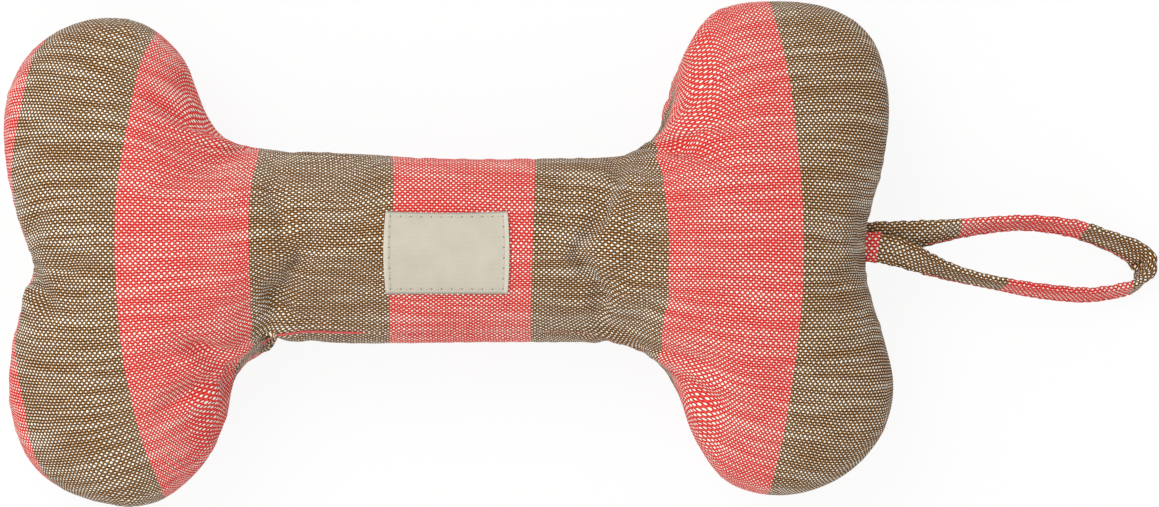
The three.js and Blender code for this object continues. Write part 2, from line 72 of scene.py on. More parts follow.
def srgb(red: int, green: int, blue: int) -> tuple[float, float, float, float]:
    """Turns a colour of 0 to 255 a channel into Blender's linear colour.

    Args:
        red: Red channel.
        green: Green channel.
        blue: Blue channel.

    Returns:
        The linear colour with full alpha.
    """
    def linear(channel: int) -> float:
        """One channel made linear."""
        share = channel / 255
        return share / 12.92 if share <= 0.04045 else ((share + 0.055) / 1.055) ** 2.4

    return (linear(red), linear(green), linear(blue), 1.0)


def smooth_share(low: float, high: float, value: np.ndarray) -> np.ndarray:
    """Share of the way from low to high, eased at both ends.

    Args:
        low: Value that gives 0.
        high: Value that gives 1.
        value: The values to place.

    Returns:
        Shares from 0 to 1.
    """
    share = np.clip((value - low) / (high - low), 0, 1)
    return share * share * (3 - 2 * share)


def smooth_curve(points: np.ndarray, per_span: int, closed: bool) -> np.ndarray:
    """Runs a centripetal curve through points.

    Args:
        points: The points, one a row.
        per_span: How many points the curve gets for each span.
        closed: Whether the last point joins the first.

    Returns:
        The points of the curve.
    """
    count = len(points)
    spans = count if closed else count - 1

    def at(number: int) -> np.ndarray:
        """The point of that number, past an open end by reflection.

        Args:
            number: The point's number.

        Returns:
            The point.
        """
        if closed:
            return points[number % count]
        if number < 0:
            return 2 * points[0] - points[1]
        if number >= count:
            return 2 * points[-1] - points[-2]
        return points[number]

    curve = []
    for span in range(spans):
        before, start, end, after = (at(span + step) for step in (-1, 0, 1, 2))
        first, middle, last = (
            max(math.sqrt(np.linalg.norm(b - a)), 1e-6)
            for a, b in ((before, start), (start, end), (end, after))
        )
        leave = middle * (
            (start - before) / first - (end - before) / (first + middle) + (end - start) / middle
        )
        reach = middle * (
            (end - start) / middle - (after - start) / (middle + last) + (after - end) / last
        )
        for step in range(per_span):
            t = step / per_span
            curve.append(
                (2 * t**3 - 3 * t**2 + 1) * start + (t**3 - 2 * t**2 + t) * leave
                + (3 * t**2 - 2 * t**3) * end + (t**3 - t**2) * reach
            )
    if not closed:
        curve.append(points[-1])
    return np.array(curve)


def evenly_spaced(path: np.ndarray, spacing: float, closed: bool) -> np.ndarray:
    """Places points along a path at one spacing, near the one asked for.

    Args:
        path: The path's points.
        spacing: The spacing wanted.
        closed: Whether the last point joins the first.

    Returns:
        The new points.
    """
    run = np.vstack([path, path[:1]]) if closed else path
    gone = run_length(run)
    count = max(int(round(gone[-1] / spacing)), 2)
    at = np.linspace(0, gone[-1], count + (0 if closed else 1), endpoint=not closed)
    return np.column_stack([np.interp(at, gone, run[:, axis]) for axis in range(run.shape[1])])


def nearest(places: np.ndarray, targets: np.ndarray) -> tuple[np.ndarray, np.ndarray]:
    """Finds the nearest target of each place, a block of places at a time.

    Args:
        places: The places, one a row.
        targets: The targets, one a row.

    Returns:
        The distance to the nearest target and its number, for each place.
    """
    distance = np.empty(len(places))
    number = np.empty(len(places), int)
    for start in range(0, len(places), BLOCK):
        block = slice(start, start + BLOCK)
        square = ((places[block][:, None, :] - targets[None, :, :]) ** 2).sum(2)
        number[block] = square.argmin(1)
        distance[block] = np.sqrt(square.min(1))
    return distance, number


def run_length(path: np.ndarray) -> np.ndarray:
    """How far along a path each of its points is."""
    return np.concatenate([[0], np.cumsum(np.linalg.norm(np.diff(path, axis=0), axis=1))])


def outwards_of(ring: np.ndarray) -> np.ndarray:
    """Directions out of an anticlockwise ring of points, square to it."""
    along = np.roll(ring, -1, 0) - np.roll(ring, 1, 0)
    along /= np.linalg.norm(along, axis=1)[:, None]
    return np.column_stack([along[:, 1], -along[:, 0]])


def make_object(
    name: str, places: np.ndarray, faces: list, cloth: np.ndarray | None = None
) -> bpy.types.Object:
    """Makes a mesh object in metres in the shared frame.

    Args:
        name: The piece's name.
        places: Its points in the bone's coordinates, in millimetres.
        faces: Its faces, as numbers of its points.
        cloth: Where each point lies on the flat cloth, in millimetres, if the piece is woven.

    Returns:
        The object, at the origin.
    """
    mesh = bpy.data.meshes.new(name)
    placed = (np.asarray(places) + BONE_PLACE) * MM
    mesh.from_pydata(placed.tolist(), [], [tuple(int(n) for n in face) for face in faces])
    mesh.update()
    if cloth is not None:
        layer = mesh.uv_layers.new(name="cloth")
        corner_points = np.empty(len(mesh.loops), int)
        mesh.loops.foreach_get("vertex_index", corner_points)
        corners = np.asarray(cloth)[corner_points] * MM
        layer.data.foreach_set("uv", corners.astype(np.float32).ravel())
    mesh.shade_smooth()
    thing = bpy.data.objects.new(name, mesh)
    bpy.context.scene.collection.objects.link(thing)
    return thing


def bake_modifiers(thing: bpy.types.Object) -> None:
    """Turns an object's modifiers into its mesh and removes them.

    Args:
        thing: The object.
    """
    evaluated = thing.evaluated_get(bpy.context.evaluated_depsgraph_get())
    mesh = bpy.data.meshes.new_from_object(evaluated)
    mesh.name = thing.name
    thing.modifiers.clear()
    thing.data = mesh


def vertex_normals(thing: bpy.types.Object) -> np.ndarray:
    """The normal of each of a mesh's points."""
    normals = np.empty(len(thing.data.vertices) * 3)
    thing.data.vertex_normals.foreach_get("vector", normals)
    return normals.reshape(-1, 3)


def join_pieces(things: list[bpy.types.Object]) -> bpy.types.Object:
    """Joins meshes of one material.

    Args:
        things: The objects. All but the first are removed.

    Returns:
        The first object, with all the meshes.
    """
    build = bmesh.new()
    for thing in things:
        build.from_mesh(thing.data)
    build.to_mesh(things[0].data)
    build.free()
    for thing in things[1:]:
        bpy.data.objects.remove(thing)
    return things[0]


def point_outwards(thing: bpy.types.Object) -> None:
    """Turns the faces of a closed mesh outwards.

    Args:
        thing: The mesh's object.
    """
    build = bmesh.new()
    build.from_mesh(thing.data)
    bmesh.ops.recalc_face_normals(build, faces=build.faces)
    build.to_mesh(thing.data)
    build.free()


def seat(piece: bpy.types.Object, body: str, slot: str, *nodes: str) -> None:
    """Puts a piece on a body in place of CAD nodes.

    Args:
        piece: The piece.
        body: The body that it rides on.
        slot: The record's material slot; not used.
        nodes: The CAD nodes that it replaces.
    """
    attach(piece, body)
    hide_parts(*nodes)
    log.info("%s: %d faces", piece.name, len(piece.data.polygons))


class Socket:
    """A value in a material's nodes, with the sums that the finishes use."""

    def __init__(self, nodes: "Nodes", source: bpy.types.NodeSocket) -> None:
        """Wraps an output of one of the material's nodes."""
        self.nodes = nodes
        self.source = source

    def _sum(self, operation: str, *values: Value) -> "Socket":
        """One Math node on these values."""
        made = self.nodes.node("ShaderNodeMath", {"operation": operation}, dict(enumerate(values)))
        return made(0)

    def __add__(self, other: Value) -> "Socket":
        """This plus other."""
        return self._sum("ADD", self, other)

    __radd__ = __add__

    def __sub__(self, other: Value) -> "Socket":
        """This less other."""
        return self._sum("SUBTRACT", self, other)

    def __rsub__(self, other: Value) -> "Socket":
        """Other less this."""
        return self._sum("SUBTRACT", other, self)

    def __mul__(self, other: Value) -> "Socket":
        """This times other."""
        return self._sum("MULTIPLY", self, other)

    __rmul__ = __mul__

    def __truediv__(self, other: Value) -> "Socket":
        """This over other."""
        return self._sum("DIVIDE", self, other)

    def __rtruediv__(self, other: Value) -> "Socket":
        """Other over this."""
        return self._sum("DIVIDE", other, self)

    def __pow__(self, power: Value) -> "Socket":
        """This to a power."""
        return self._sum("POWER", self, power)

    def __gt__(self, limit: Value) -> "Socket":
        """1 where this is over the limit, else 0."""
        return self._sum("GREATER_THAN", self, limit)

    def __abs__(self) -> "Socket":
        """This without its sign."""
        return self._sum("ABSOLUTE", self)

    def whole(self) -> "Socket":
        """The whole number below this."""
        return self._sum("FLOOR", self)

    def rest(self) -> "Socket":
        """What is left over the whole number below this."""
        return self._sum("FRACT", self)

    def wave(self) -> "Socket":
        """The sine of this."""
        return self._sum("SINE", self)

    def at_least(self, limit: Value) -> "Socket":
        """The larger of this and the limit."""
        return self._sum("MAXIMUM", self, limit)

    def at_most(self, limit: Value) -> "Socket":
        """The smaller of this and the limit."""
        return self._sum("MINIMUM", self, limit)

    def between(self, low: Value, high: Value) -> "Socket":
        """Eased share of the way from low to high."""
        span = {"Value": self, "From Min": low, "From Max": high, "To Min": 0.0, "To Max": 1.0}
        return self.nodes.node("ShaderNodeMapRange", {"interpolation_type": "SMOOTHSTEP"}, span)("Result")


class Nodes:
    """Builds the nodes of one material."""

    def __init__(self, name: str) -> None:
        """Starts a material with an empty tree."""
        self.material = bpy.data.materials.new(name)
        self.material.use_nodes = True
        self.tree = self.material.node_tree
        self.tree.nodes.clear()

    def node(self, kind: str, settings: dict, values: dict) -> Callable[[str | int], Socket]:
        """Adds a node, with its settings first and then its sockets.

        Args:
            kind: Blender's name of the node's type.
            settings: Attributes such as an operation.
            values: Numbers, colours or links of its inputs, by name or number.

        Returns:
            A function that gives the node's output of a name or number.
        """
        made = self.tree.nodes.new(kind)
        for name, setting in settings.items():
            setattr(made, name, setting)
        for name, value in values.items():
            if isinstance(value, Socket):
                self.tree.links.new(value.source, made.inputs[name])
            else:
                made.inputs[name].default_value = value
        return lambda output: Socket(self, made.outputs[output])

    def mix(self, factor: Value, low: Value, high: Value) -> Socket:
        """Mixes two colours.

        Args:
            factor: 0 for low, 1 for high.
            low: A colour.
            high: A colour.

        Returns:
            The mixed colour.
        """
        return self.node("ShaderNodeMix", {"data_type": "RGBA"}, {"Factor": factor, 6: low, 7: high})(2)

    def noise(self, place: Value, scale: float, detail: float = 2.0) -> Socket:
        """Adds soft noise.

        Args:
            place: The vector it is read at.
            scale: Bumps a unit.
            detail: Finer layers.

        Returns:
            A value from 0 to 1.
        """
        values = {"Vector": place, "Scale": scale, "Detail": detail}
        return self.node("ShaderNodeTexNoise", {}, values)("Fac")

    def vector(self, x: Value, y: Value, z: Value = 0.0) -> Socket:
        """Joins three values into a vector."""
        return self.node("ShaderNodeCombineXYZ", {}, {"X": x, "Y": y, "Z": z})("Vector")

    def cloth_place(self) -> tuple[Socket, Socket]:
        """Where a point lies on the flat cloth, along and across, in millimetres."""
        flat = self.node("ShaderNodeUVMap", {"uv_map": "cloth"}, {})("UV")
        split = self.node("ShaderNodeSeparateXYZ", {}, {"Vector": flat})
        return split("X") * (1 / MM), split("Y") * (1 / MM)

    def object_place(self) -> Socket:
        """Where a point lies in the shared frame, in metres."""
        return self.node("ShaderNodeTexCoord", {}, {})("Object")

    def bump(self, height: Socket, distance: float) -> Socket:
        """Turns a height from 0 to 1 into a normal.

        Args:
            height: The height.
            distance: What a height of 1 stands for, in millimetres.

        Returns:
            The normal.
        """
        values = {"Height": height, "Distance": distance * MM, "Strength": 1.0}
        return self.node("ShaderNodeBump", {}, values)("Normal")

    def finish(self, values: dict) -> bpy.types.Material:
        """Ends the material in one Principled shader.

        Args:
            values: Numbers, colours or links of the shader's inputs.

        Returns:
            The material.
        """
        shader = self.node("ShaderNodeBsdfPrincipled", {}, values)
        self.node("ShaderNodeOutputMaterial", {}, {"Surface": shader("BSDF")})
        return self.material


@dataclass(frozen=True)
class SlubCotton:
    """Plain-woven cotton: coloured warp in wide stripes, and a white weft that thickens in slubs.

    Pitches, drifts and the relief are in millimetres. A yarn's half sizes are shares of its cell.
    """

    name: str
    stripe_edges: tuple[float, ...]
    # Each warp colour comes as a lit copy and a darker copy: painted light on the yarns' crowns and
    # painted shade in the gaps between them.
    coral: tuple = srgb(250, 92, 72)
    coral_painted_shade: tuple = srgb(200, 26, 44)
    olive: tuple = srgb(170, 114, 50)
    olive_painted_shade: tuple = srgb(68, 40, 14)
    weft: tuple = srgb(253, 252, 238)
    warp_pitch: float = 0.87
    weft_pitch: float = 0.98
    relief: float = 0.22
    warp_drift: float = 0.5
    weft_sway: float = 1.6
    weft_drift: float = 0.4
    thinnest: float = 0.235
    slub_gain: float = 0.22
    yarn_gain: float = 0.18
    shortest: float = 0.27
    length_gain: float = 0.45
    tone_gain: float = 0.28

    def material(self) -> bpy.types.Material:
        """Builds the woven finish on the flat cloth's coordinates.

        Returns:
            The material.
        """
        n = Nodes(self.name)
        along, across = n.cloth_place()
        sway = n.noise(n.vector(along * 0.05, across * 0.05, 3.0), 1.0)
        wave = n.noise(n.vector(along * 0.4, across * 0.4, 7.0), 1.0)
        warps = (along + (wave - 0.5) * self.warp_drift) / self.warp_pitch
        swayed = across + (sway - 0.5) * self.weft_sway + (wave - 0.5) * self.weft_drift
        wefts = swayed / self.weft_pitch
        warp_number = warps.whole()
        weft_number = wefts.whole()
        x = warps.rest() - 0.5
        y = wefts.rest() - 0.5
        pair = (warp_number + weft_number) * 0.5
        weft_up = abs(pair - pair.whole()) * 2.0
        slub = n.noise(n.vector(along * 0.035, weft_number * 3.71, 1.0), 1.0, 1.0)
        fine = n.noise(n.vector(warp_number * 1.37, weft_number * 2.11, 5.0), 1.0, 1.0)
        slubbed = slub.between(0.36, 0.72) * self.slub_gain + self.thinnest
        thick = slubbed + (fine - 0.5) * self.yarn_gain
        length = thick * self.length_gain + self.shortest
        dot = 1.0 - ((x / length) ** 2.0 + (y / thick) ** 2.0)
        weft_shows = weft_up * dot.between(-0.35, 0.3)
        is_olive = self.stripe_mask(warp_number * self.warp_pitch)
        # Painted light and shade on each warp yarn: lighter on its crown, darker at its edges, between
        # the rows and under the weft, with random tone mixed in.
        rounded = (1.0 - abs(y) * 2.0).between(0.0, 0.85)
        sides = (1.0 - abs(x) * 2.0).between(0.0, 0.6)
        painted_shade_and_tone = rounded * (sides * 0.45 + 0.55) * (1.0 - weft_up * 0.35)
        tone = n.noise(n.vector(warp_number * 0.61, across * 0.06, 9.0), 1.0, 2.0)
        painted_shade_and_tone = (painted_shade_and_tone * 0.9 + (tone - 0.5) * self.tone_gain).at_least(0.0).at_most(1.0)
        coral = n.mix(painted_shade_and_tone, self.coral_painted_shade, self.coral)
        olive = n.mix(painted_shade_and_tone, self.olive_painted_shade, self.olive)
        warp_color = n.mix(is_olive, coral, olive)
        color = n.mix(weft_shows, warp_color, self.weft)
        fuzz = n.noise(n.vector(along, across, 2.0), 6.0, 3.0)
        height = rounded * (1.0 - weft_up) * 0.8 + weft_shows * 0.75 + fuzz * 0.25
        return n.finish({
            "Base Color": color,
            "Roughness": 0.95 - weft_shows * 0.1,
            "Specular IOR Level": 0.15,
            "Sheen Weight": 0.05,
            "Sheen Roughness": 0.35,
            "Normal": n.bump(height, self.relief),
        })

    def stripe_mask(self, along: Socket) -> Socket:
        """Tells the olive stripes from the coral ones.

        Args:
            along: The place along the cloth, across the stripes.

        Returns:
            1 on the olive stripes and 0 on the coral ones, changing at each stripe edge.
        """
        mask: Value = 0.0
        for number, edge in enumerate(self.stripe_edges):
            step = along > edge
            mask = step if number == 0 else (mask + step if number % 2 == 0 else mask - step)
        return mask


@dataclass(frozen=True)
class FibreFinish:
    """Loose white polyester fibre."""

    name: str = "polyester_fibre"
    color: tuple = srgb(240, 240, 236)
    shade: tuple = srgb(222, 222, 216)

    def material(self) -> bpy.types.Material:
        """Builds the fibrous finish.

        Returns:
            The material.
        """
        n = Nodes(self.name)
        place = n.object_place()
        tufts = n.noise(place, 90.0, 4.0)
        strands = n.noise(place, 900.0, 3.0)
        return n.finish({
            "Base Color": n.mix(tufts.between(0.3, 0.7), self.shade, self.color),
            "Roughness": 0.9 + strands * 0.1,
            "Sheen Weight": 0.3,
            "Normal": n.bump(tufts * 0.7 + strands * 0.3, 1.5),
        })


@dataclass(frozen=True)
class ThreadFinish:
    """Twisted sewing thread."""

    name: str
    color: tuple
    shade: tuple
    twist: float = 1.1

    def material(self) -> bpy.types.Material:
        """Builds the plied finish.

        Returns:
            The material.
        """
        n = Nodes(self.name)
        place = n.object_place()
        split = n.node("ShaderNodeSeparateXYZ", {}, {"Vector": place})
        diagonal = (split("X") + split("Y") + split("Z") * 1.7) * (1 / MM)
        plies = (diagonal * (2 * math.pi / self.twist)).wave() * 0.5 + 0.5
        worn = n.noise(place, 700.0, 2.0)
        # The grooves between the plies are darkened: painted shade, with random wear mixed in.
        painted_shade_and_tone = plies * 0.7 + worn * 0.3
        return n.finish({
            "Base Color": n.mix(painted_shade_and_tone, self.shade, self.color),
            "Roughness": 0.7 + worn * 0.2,
            "Sheen Weight": 0.1,
            "Normal": n.bump(plies, 0.08),
        })


@dataclass(frozen=True)
class LabelCotton:
    """Close-woven beige label tape with a greenish selvedge along its two long edges."""

    half_length: float
    half_width: float
    holes: tuple[int, int]
    hole_frame: tuple[float, float]
    name: str = "label_tape"
    hem: float = 1.3
    color: tuple = srgb(218, 211, 195)
    # The darker beige is painted shade in the weave's grooves, mixed with random mottle and drift.
    shade: tuple = srgb(168, 160, 142)
    folded: tuple = srgb(228, 218, 204)
    edge: tuple = srgb(112, 124, 112)
    # Dark grey painted as the shade inside the needle holes.
    hole_painted_shade: tuple = srgb(84, 86, 76)
    rib_pitch: float = 0.42
    cross_pitch: float = 0.336
    picot_pitch: float = 0.66
    hole_radii: tuple = (0.1414, 0.4)

    def material(self) -> bpy.types.Material:
        """Builds the tape's finish on its own coordinates.

        Returns:
            The material.
        """
        n = Nodes(self.name)
        along, across = n.cloth_place()
        ribs = (across * (2 * math.pi / self.rib_pitch)).wave() * 0.5 + 0.5
        cross = (along * (2 * math.pi / self.cross_pitch)).wave() * 0.5 + 0.5
        mottle = n.noise(n.vector(along, across), 1.9, 4.0)
        drift = n.noise(n.vector(along, across), 0.12, 2.0)
        # The ribs and cross threads darken the tape in their grooves: painted shade, mixed with random
        # mottle and drift.
        weave = ribs * 0.35 + cross * 0.25 + mottle * 0.4
        painted_shade_and_tone = (weave * 0.7 + drift * 0.4).at_most(1.0)
        selvedge = abs(across).between(self.half_width - 1.0, self.half_width - 0.2)
        picots = ((along + mottle * 0.3) * (2 * math.pi / self.picot_pitch)).wave() * 0.3 + 0.55
        folded = abs(along).between(self.half_length - self.hem, self.half_length - self.hem + 0.25)
        tape = n.mix(painted_shade_and_tone, self.shade, self.color)
        tape = n.mix(folded * 0.35, tape, self.folded)
        tape = n.mix(selvedge * picots, tape, self.edge)
        return n.finish({
            # Painted shade at the needle holes, with no hole in the mesh.
            "Base Color": n.mix(self.needle_hole_shade(along, across) * 0.65, tape, self.hole_painted_shade),
            "Roughness": 0.82 + mottle * 0.12,
            "Sheen Weight": 0.1,
            "Normal": n.bump(weave, 0.07),
        })

    def needle_hole_shade(self, along: Socket, across: Socket) -> Socket:
        """Places the painted shade of a small needle hole between the label's stitches.

        Args:
            along: The place along the tape.
            across: The place across the tape.

        Returns:
            1 in the holes and 0 elsewhere.
        """
        (columns, rows), (x, y) = self.holes, self.hole_frame
        inner, outer = (radius**2 for radius in self.hole_radii)
        beside = ((along * (columns / (2 * x))).rest() - 0.5) * (2 * x / columns)
        above = ((across * (rows / (2 * y))).rest() - 0.5) * (2 * y / rows)
        on_rows = (beside**2.0 + (abs(across) - y) ** 2.0).between(inner, outer)
        on_columns = (above**2.0 + (abs(along) - x) ** 2.0).between(inner, outer)
        past = (abs(along) > x + self.hole_radii[1]).at_least(abs(across) > y + self.hole_radii[1])
        return (1.0 - on_rows.at_most(on_columns)) * (1.0 - past)


@dataclass(frozen=True)
class VinylFinish:
    """Soft squeaker vinyl, satin with faint mould marks."""

    name: str = "squeaker_vinyl_finish"
    color: tuple = srgb(234, 228, 212)
    shade: tuple = srgb(220, 212, 194)

    def material(self) -> bpy.types.Material:
        """Builds the vinyl finish.

        Returns:
            The material.
        """
        n = Nodes(self.name)
        place = n.object_place()
        cloud = n.noise(place, 60.0, 3.0)
        grain = n.noise(place, 1600.0, 2.0)
        return n.finish({
            "Base Color": n.mix(cloud, self.shade, self.color),
            "Roughness": 0.4 + cloud * 0.15,
            "Normal": n.bump(grain, 0.03),
        })


@dataclass(frozen=True)
class MouldedPlastic:
    """Hard moulded plastic with a fine spark texture."""

    name: str
    color: tuple
    shade: tuple

    def material(self) -> bpy.types.Material:
        """Builds the moulded finish.

        Returns:
            The material.
        """
        n = Nodes(self.name)
        place = n.object_place()
        grain = n.noise(place, 2200.0, 2.0)
        cloud = n.noise(place, 120.0, 2.0)
        return n.finish({
            "Base Color": n.mix(cloud, self.shade, self.color),
            "Roughness": 0.38 + grain * 0.15,
            "Normal": n.bump(grain, 0.02),
        })


# The second colour of each thread is its painted shade in the grooves between the plies.
CORAL_THREAD = ThreadFinish("coral_sewing_thread", srgb(236, 104, 98), srgb(196, 62, 66))
LABEL_THREAD = ThreadFinish("label_sewing_thread", srgb(220, 212, 196), srgb(178, 170, 150))


class StitchRun:
    """Geometry Nodes that lay stitches along a path."""

    INPUTS = {
        "Path": "NodeSocketGeometry",
        "Pitch": "NodeSocketFloat",
        "Stitch Length": "NodeSocketFloat",
        "Thread Radius": "NodeSocketFloat",
        "Slant": "NodeSocketFloat",
        "Unevenness": "NodeSocketFloat",
        "Seed": "NodeSocketInt",
        "Thread": "NodeSocketMaterial",
    }
    SEGMENTS = 8
    RINGS = 6
    UNEVENNESS = 0.12

    def __init__(self) -> None:
        """Builds the tree that all the stitch runs share."""
        self.tree = bpy.data.node_groups.new("stitch_run", "GeometryNodeTree")
        face = self.tree.interface
        self.identifiers = {
            name: face.new_socket(name, in_out="INPUT", socket_type=kind).identifier
            for name, kind in self.INPUTS.items()
        }
        face.new_socket("Stitches", in_out="OUTPUT", socket_type="NodeSocketGeometry")
        given = self._node("NodeGroupInput")
        beads = self._node("GeometryNodeInstanceOnPoints", values={
            "Points": self._spaced_points(given),
            "Instance": self._bead(given),
            "Rotation": self._turn(given),
            "Scale": self._size(given),
        })
        real = self._node("GeometryNodeRealizeInstances", values={"Geometry": beads["Instances"]})
        smooth = self._node("GeometryNodeSetShadeSmooth", values={"Geometry": real["Geometry"]})
        dressed = self._node("GeometryNodeSetMaterial", values={
            "Geometry": smooth["Geometry"], "Material": given["Thread"],
        })
        self._node("NodeGroupOutput", values={"Stitches": dressed["Geometry"]})

    def _node(
        self, kind: str, settings: dict | None = None, values: dict | None = None
    ) -> bpy.types.NodeOutputs:
        """Adds a node to the tree.

        Args:
            kind: Blender's name of the node's type.
            settings: Attributes such as a mode.
            values: Numbers or links of its inputs, by name or number.

        Returns:
            The node's outputs.
        """
        made = self.tree.nodes.new(kind)
        for name, setting in (settings or {}).items():
            setattr(made, name, setting)
        for name, value in (values or {}).items():
            if isinstance(value, bpy.types.NodeSocket):
                self.tree.links.new(value, made.inputs[name])
            else:
                made.inputs[name].default_value = value
        return made.outputs

    def _math(self, operation: str, *values: bpy.types.NodeSocket | float) -> bpy.types.NodeSocket:
        """One Math node on these values."""
        return self._node("ShaderNodeMath", {"operation": operation}, dict(enumerate(values)))[0]

    def _spaced_points(self, given: bpy.types.NodeOutputs) -> bpy.types.NodeSocket:
        """The path as a curve with a point for each stitch."""
        curve = self._node("GeometryNodeMeshToCurve", values={"Mesh": given["Path"]})
        values = {"Curve": curve["Curve"], "Length": given["Pitch"]}
        return self._node("GeometryNodeResampleCurve", {"mode": "LENGTH"}, values)["Curve"]

    def _bead(self, given: bpy.types.NodeOutputs) -> bpy.types.NodeSocket:
        """A bead as thick as the thread."""
        values = {"Segments": self.SEGMENTS, "Rings": self.RINGS, "Radius": given["Thread Radius"]}
        return self._node("GeometryNodeMeshUVSphere", values=values)["Mesh"]

    def _turn(self, given: bpy.types.NodeOutputs) -> bpy.types.NodeSocket:
        """The turn along the path, and off it by the slant.

        Args:
            given: The tree's inputs.

        Returns:
            The turn of each stitch.
        """
        tangent = self._node("GeometryNodeInputTangent")["Tangent"]
        along = self._node("FunctionNodeAlignRotationToVector", {"axis": "X"}, {"Vector": tangent})
        angles = self._node("ShaderNodeCombineXYZ", values={"Z": given["Slant"]})
        slant = self._node("FunctionNodeEulerToRotation", values={"Euler": angles["Vector"]})
        values = {"Rotation": along["Rotation"], "Rotate By": slant["Rotation"]}
        return self._node("FunctionNodeRotateRotation", {"rotation_space": "LOCAL"}, values)["Rotation"]

    def _size(self, given: bpy.types.NodeOutputs) -> bpy.types.NodeSocket:
        """The bead drawn out to a stitch of uneven length.

        Args:
            given: The tree's inputs.

        Returns:
            The scale of each stitch's bead.
        """
        uneven = self._node("FunctionNodeRandomValue", {"data_type": "FLOAT"}, {
            2: self._math("SUBTRACT", 1.0, given["Unevenness"]),
            3: self._math("ADD", 1.0, given["Unevenness"]),
            "Seed": given["Seed"],
        })
        across = self._math("MULTIPLY", given["Thread Radius"], 2.0)
        stretch = self._math("DIVIDE", given["Stitch Length"], across)
        values = {"X": self._math("MULTIPLY", stretch, uneven[1]), "Y": 1.0, "Z": 1.0}
        return self._node("ShaderNodeCombineXYZ", values=values)["Vector"]

    def sew(
        self, name: str, path: np.ndarray, finish: bpy.types.Material, *,
        pitch: float, length: float, radius: float, slant: float = 0.0, seed: int,
    ) -> bpy.types.Object:
        """Lays stitches along a path and turns them into a plain mesh.

        Args:
            name: The piece's name.
            path: The path, in the bone's coordinates, in millimetres.
            finish: The thread's material.
            pitch: From one stitch to the next.
            length: Length of a stitch.
            radius: Radius of the thread.
            slant: Turn of each stitch off the path, in degrees.
            seed: Seed of the stitches' unevenness.

        Returns:
            The stitches as one mesh object.
        """
        mesh = bpy.data.meshes.new(name)
        edges = [(number, number + 1) for number in range(len(path) - 1)]
        mesh.from_pydata(((path + BONE_PLACE) * MM).tolist(), edges, [])
        thing = bpy.data.objects.new(name, mesh)
        bpy.context.scene.collection.objects.link(thing)
        given = {
            "Pitch": pitch * MM, "Stitch Length": length * MM, "Thread Radius": radius * MM,
            "Slant": math.radians(slant), "Unevenness": self.UNEVENNESS, "Seed": seed, "Thread": finish,
        }
        modifier = thing.modifiers.new("stitches", "NODES")
        modifier.node_group = self.tree
        for key, value in given.items():
            modifier[self.identifiers[key]] = value
        bake_modifiers(thing)
        return thing


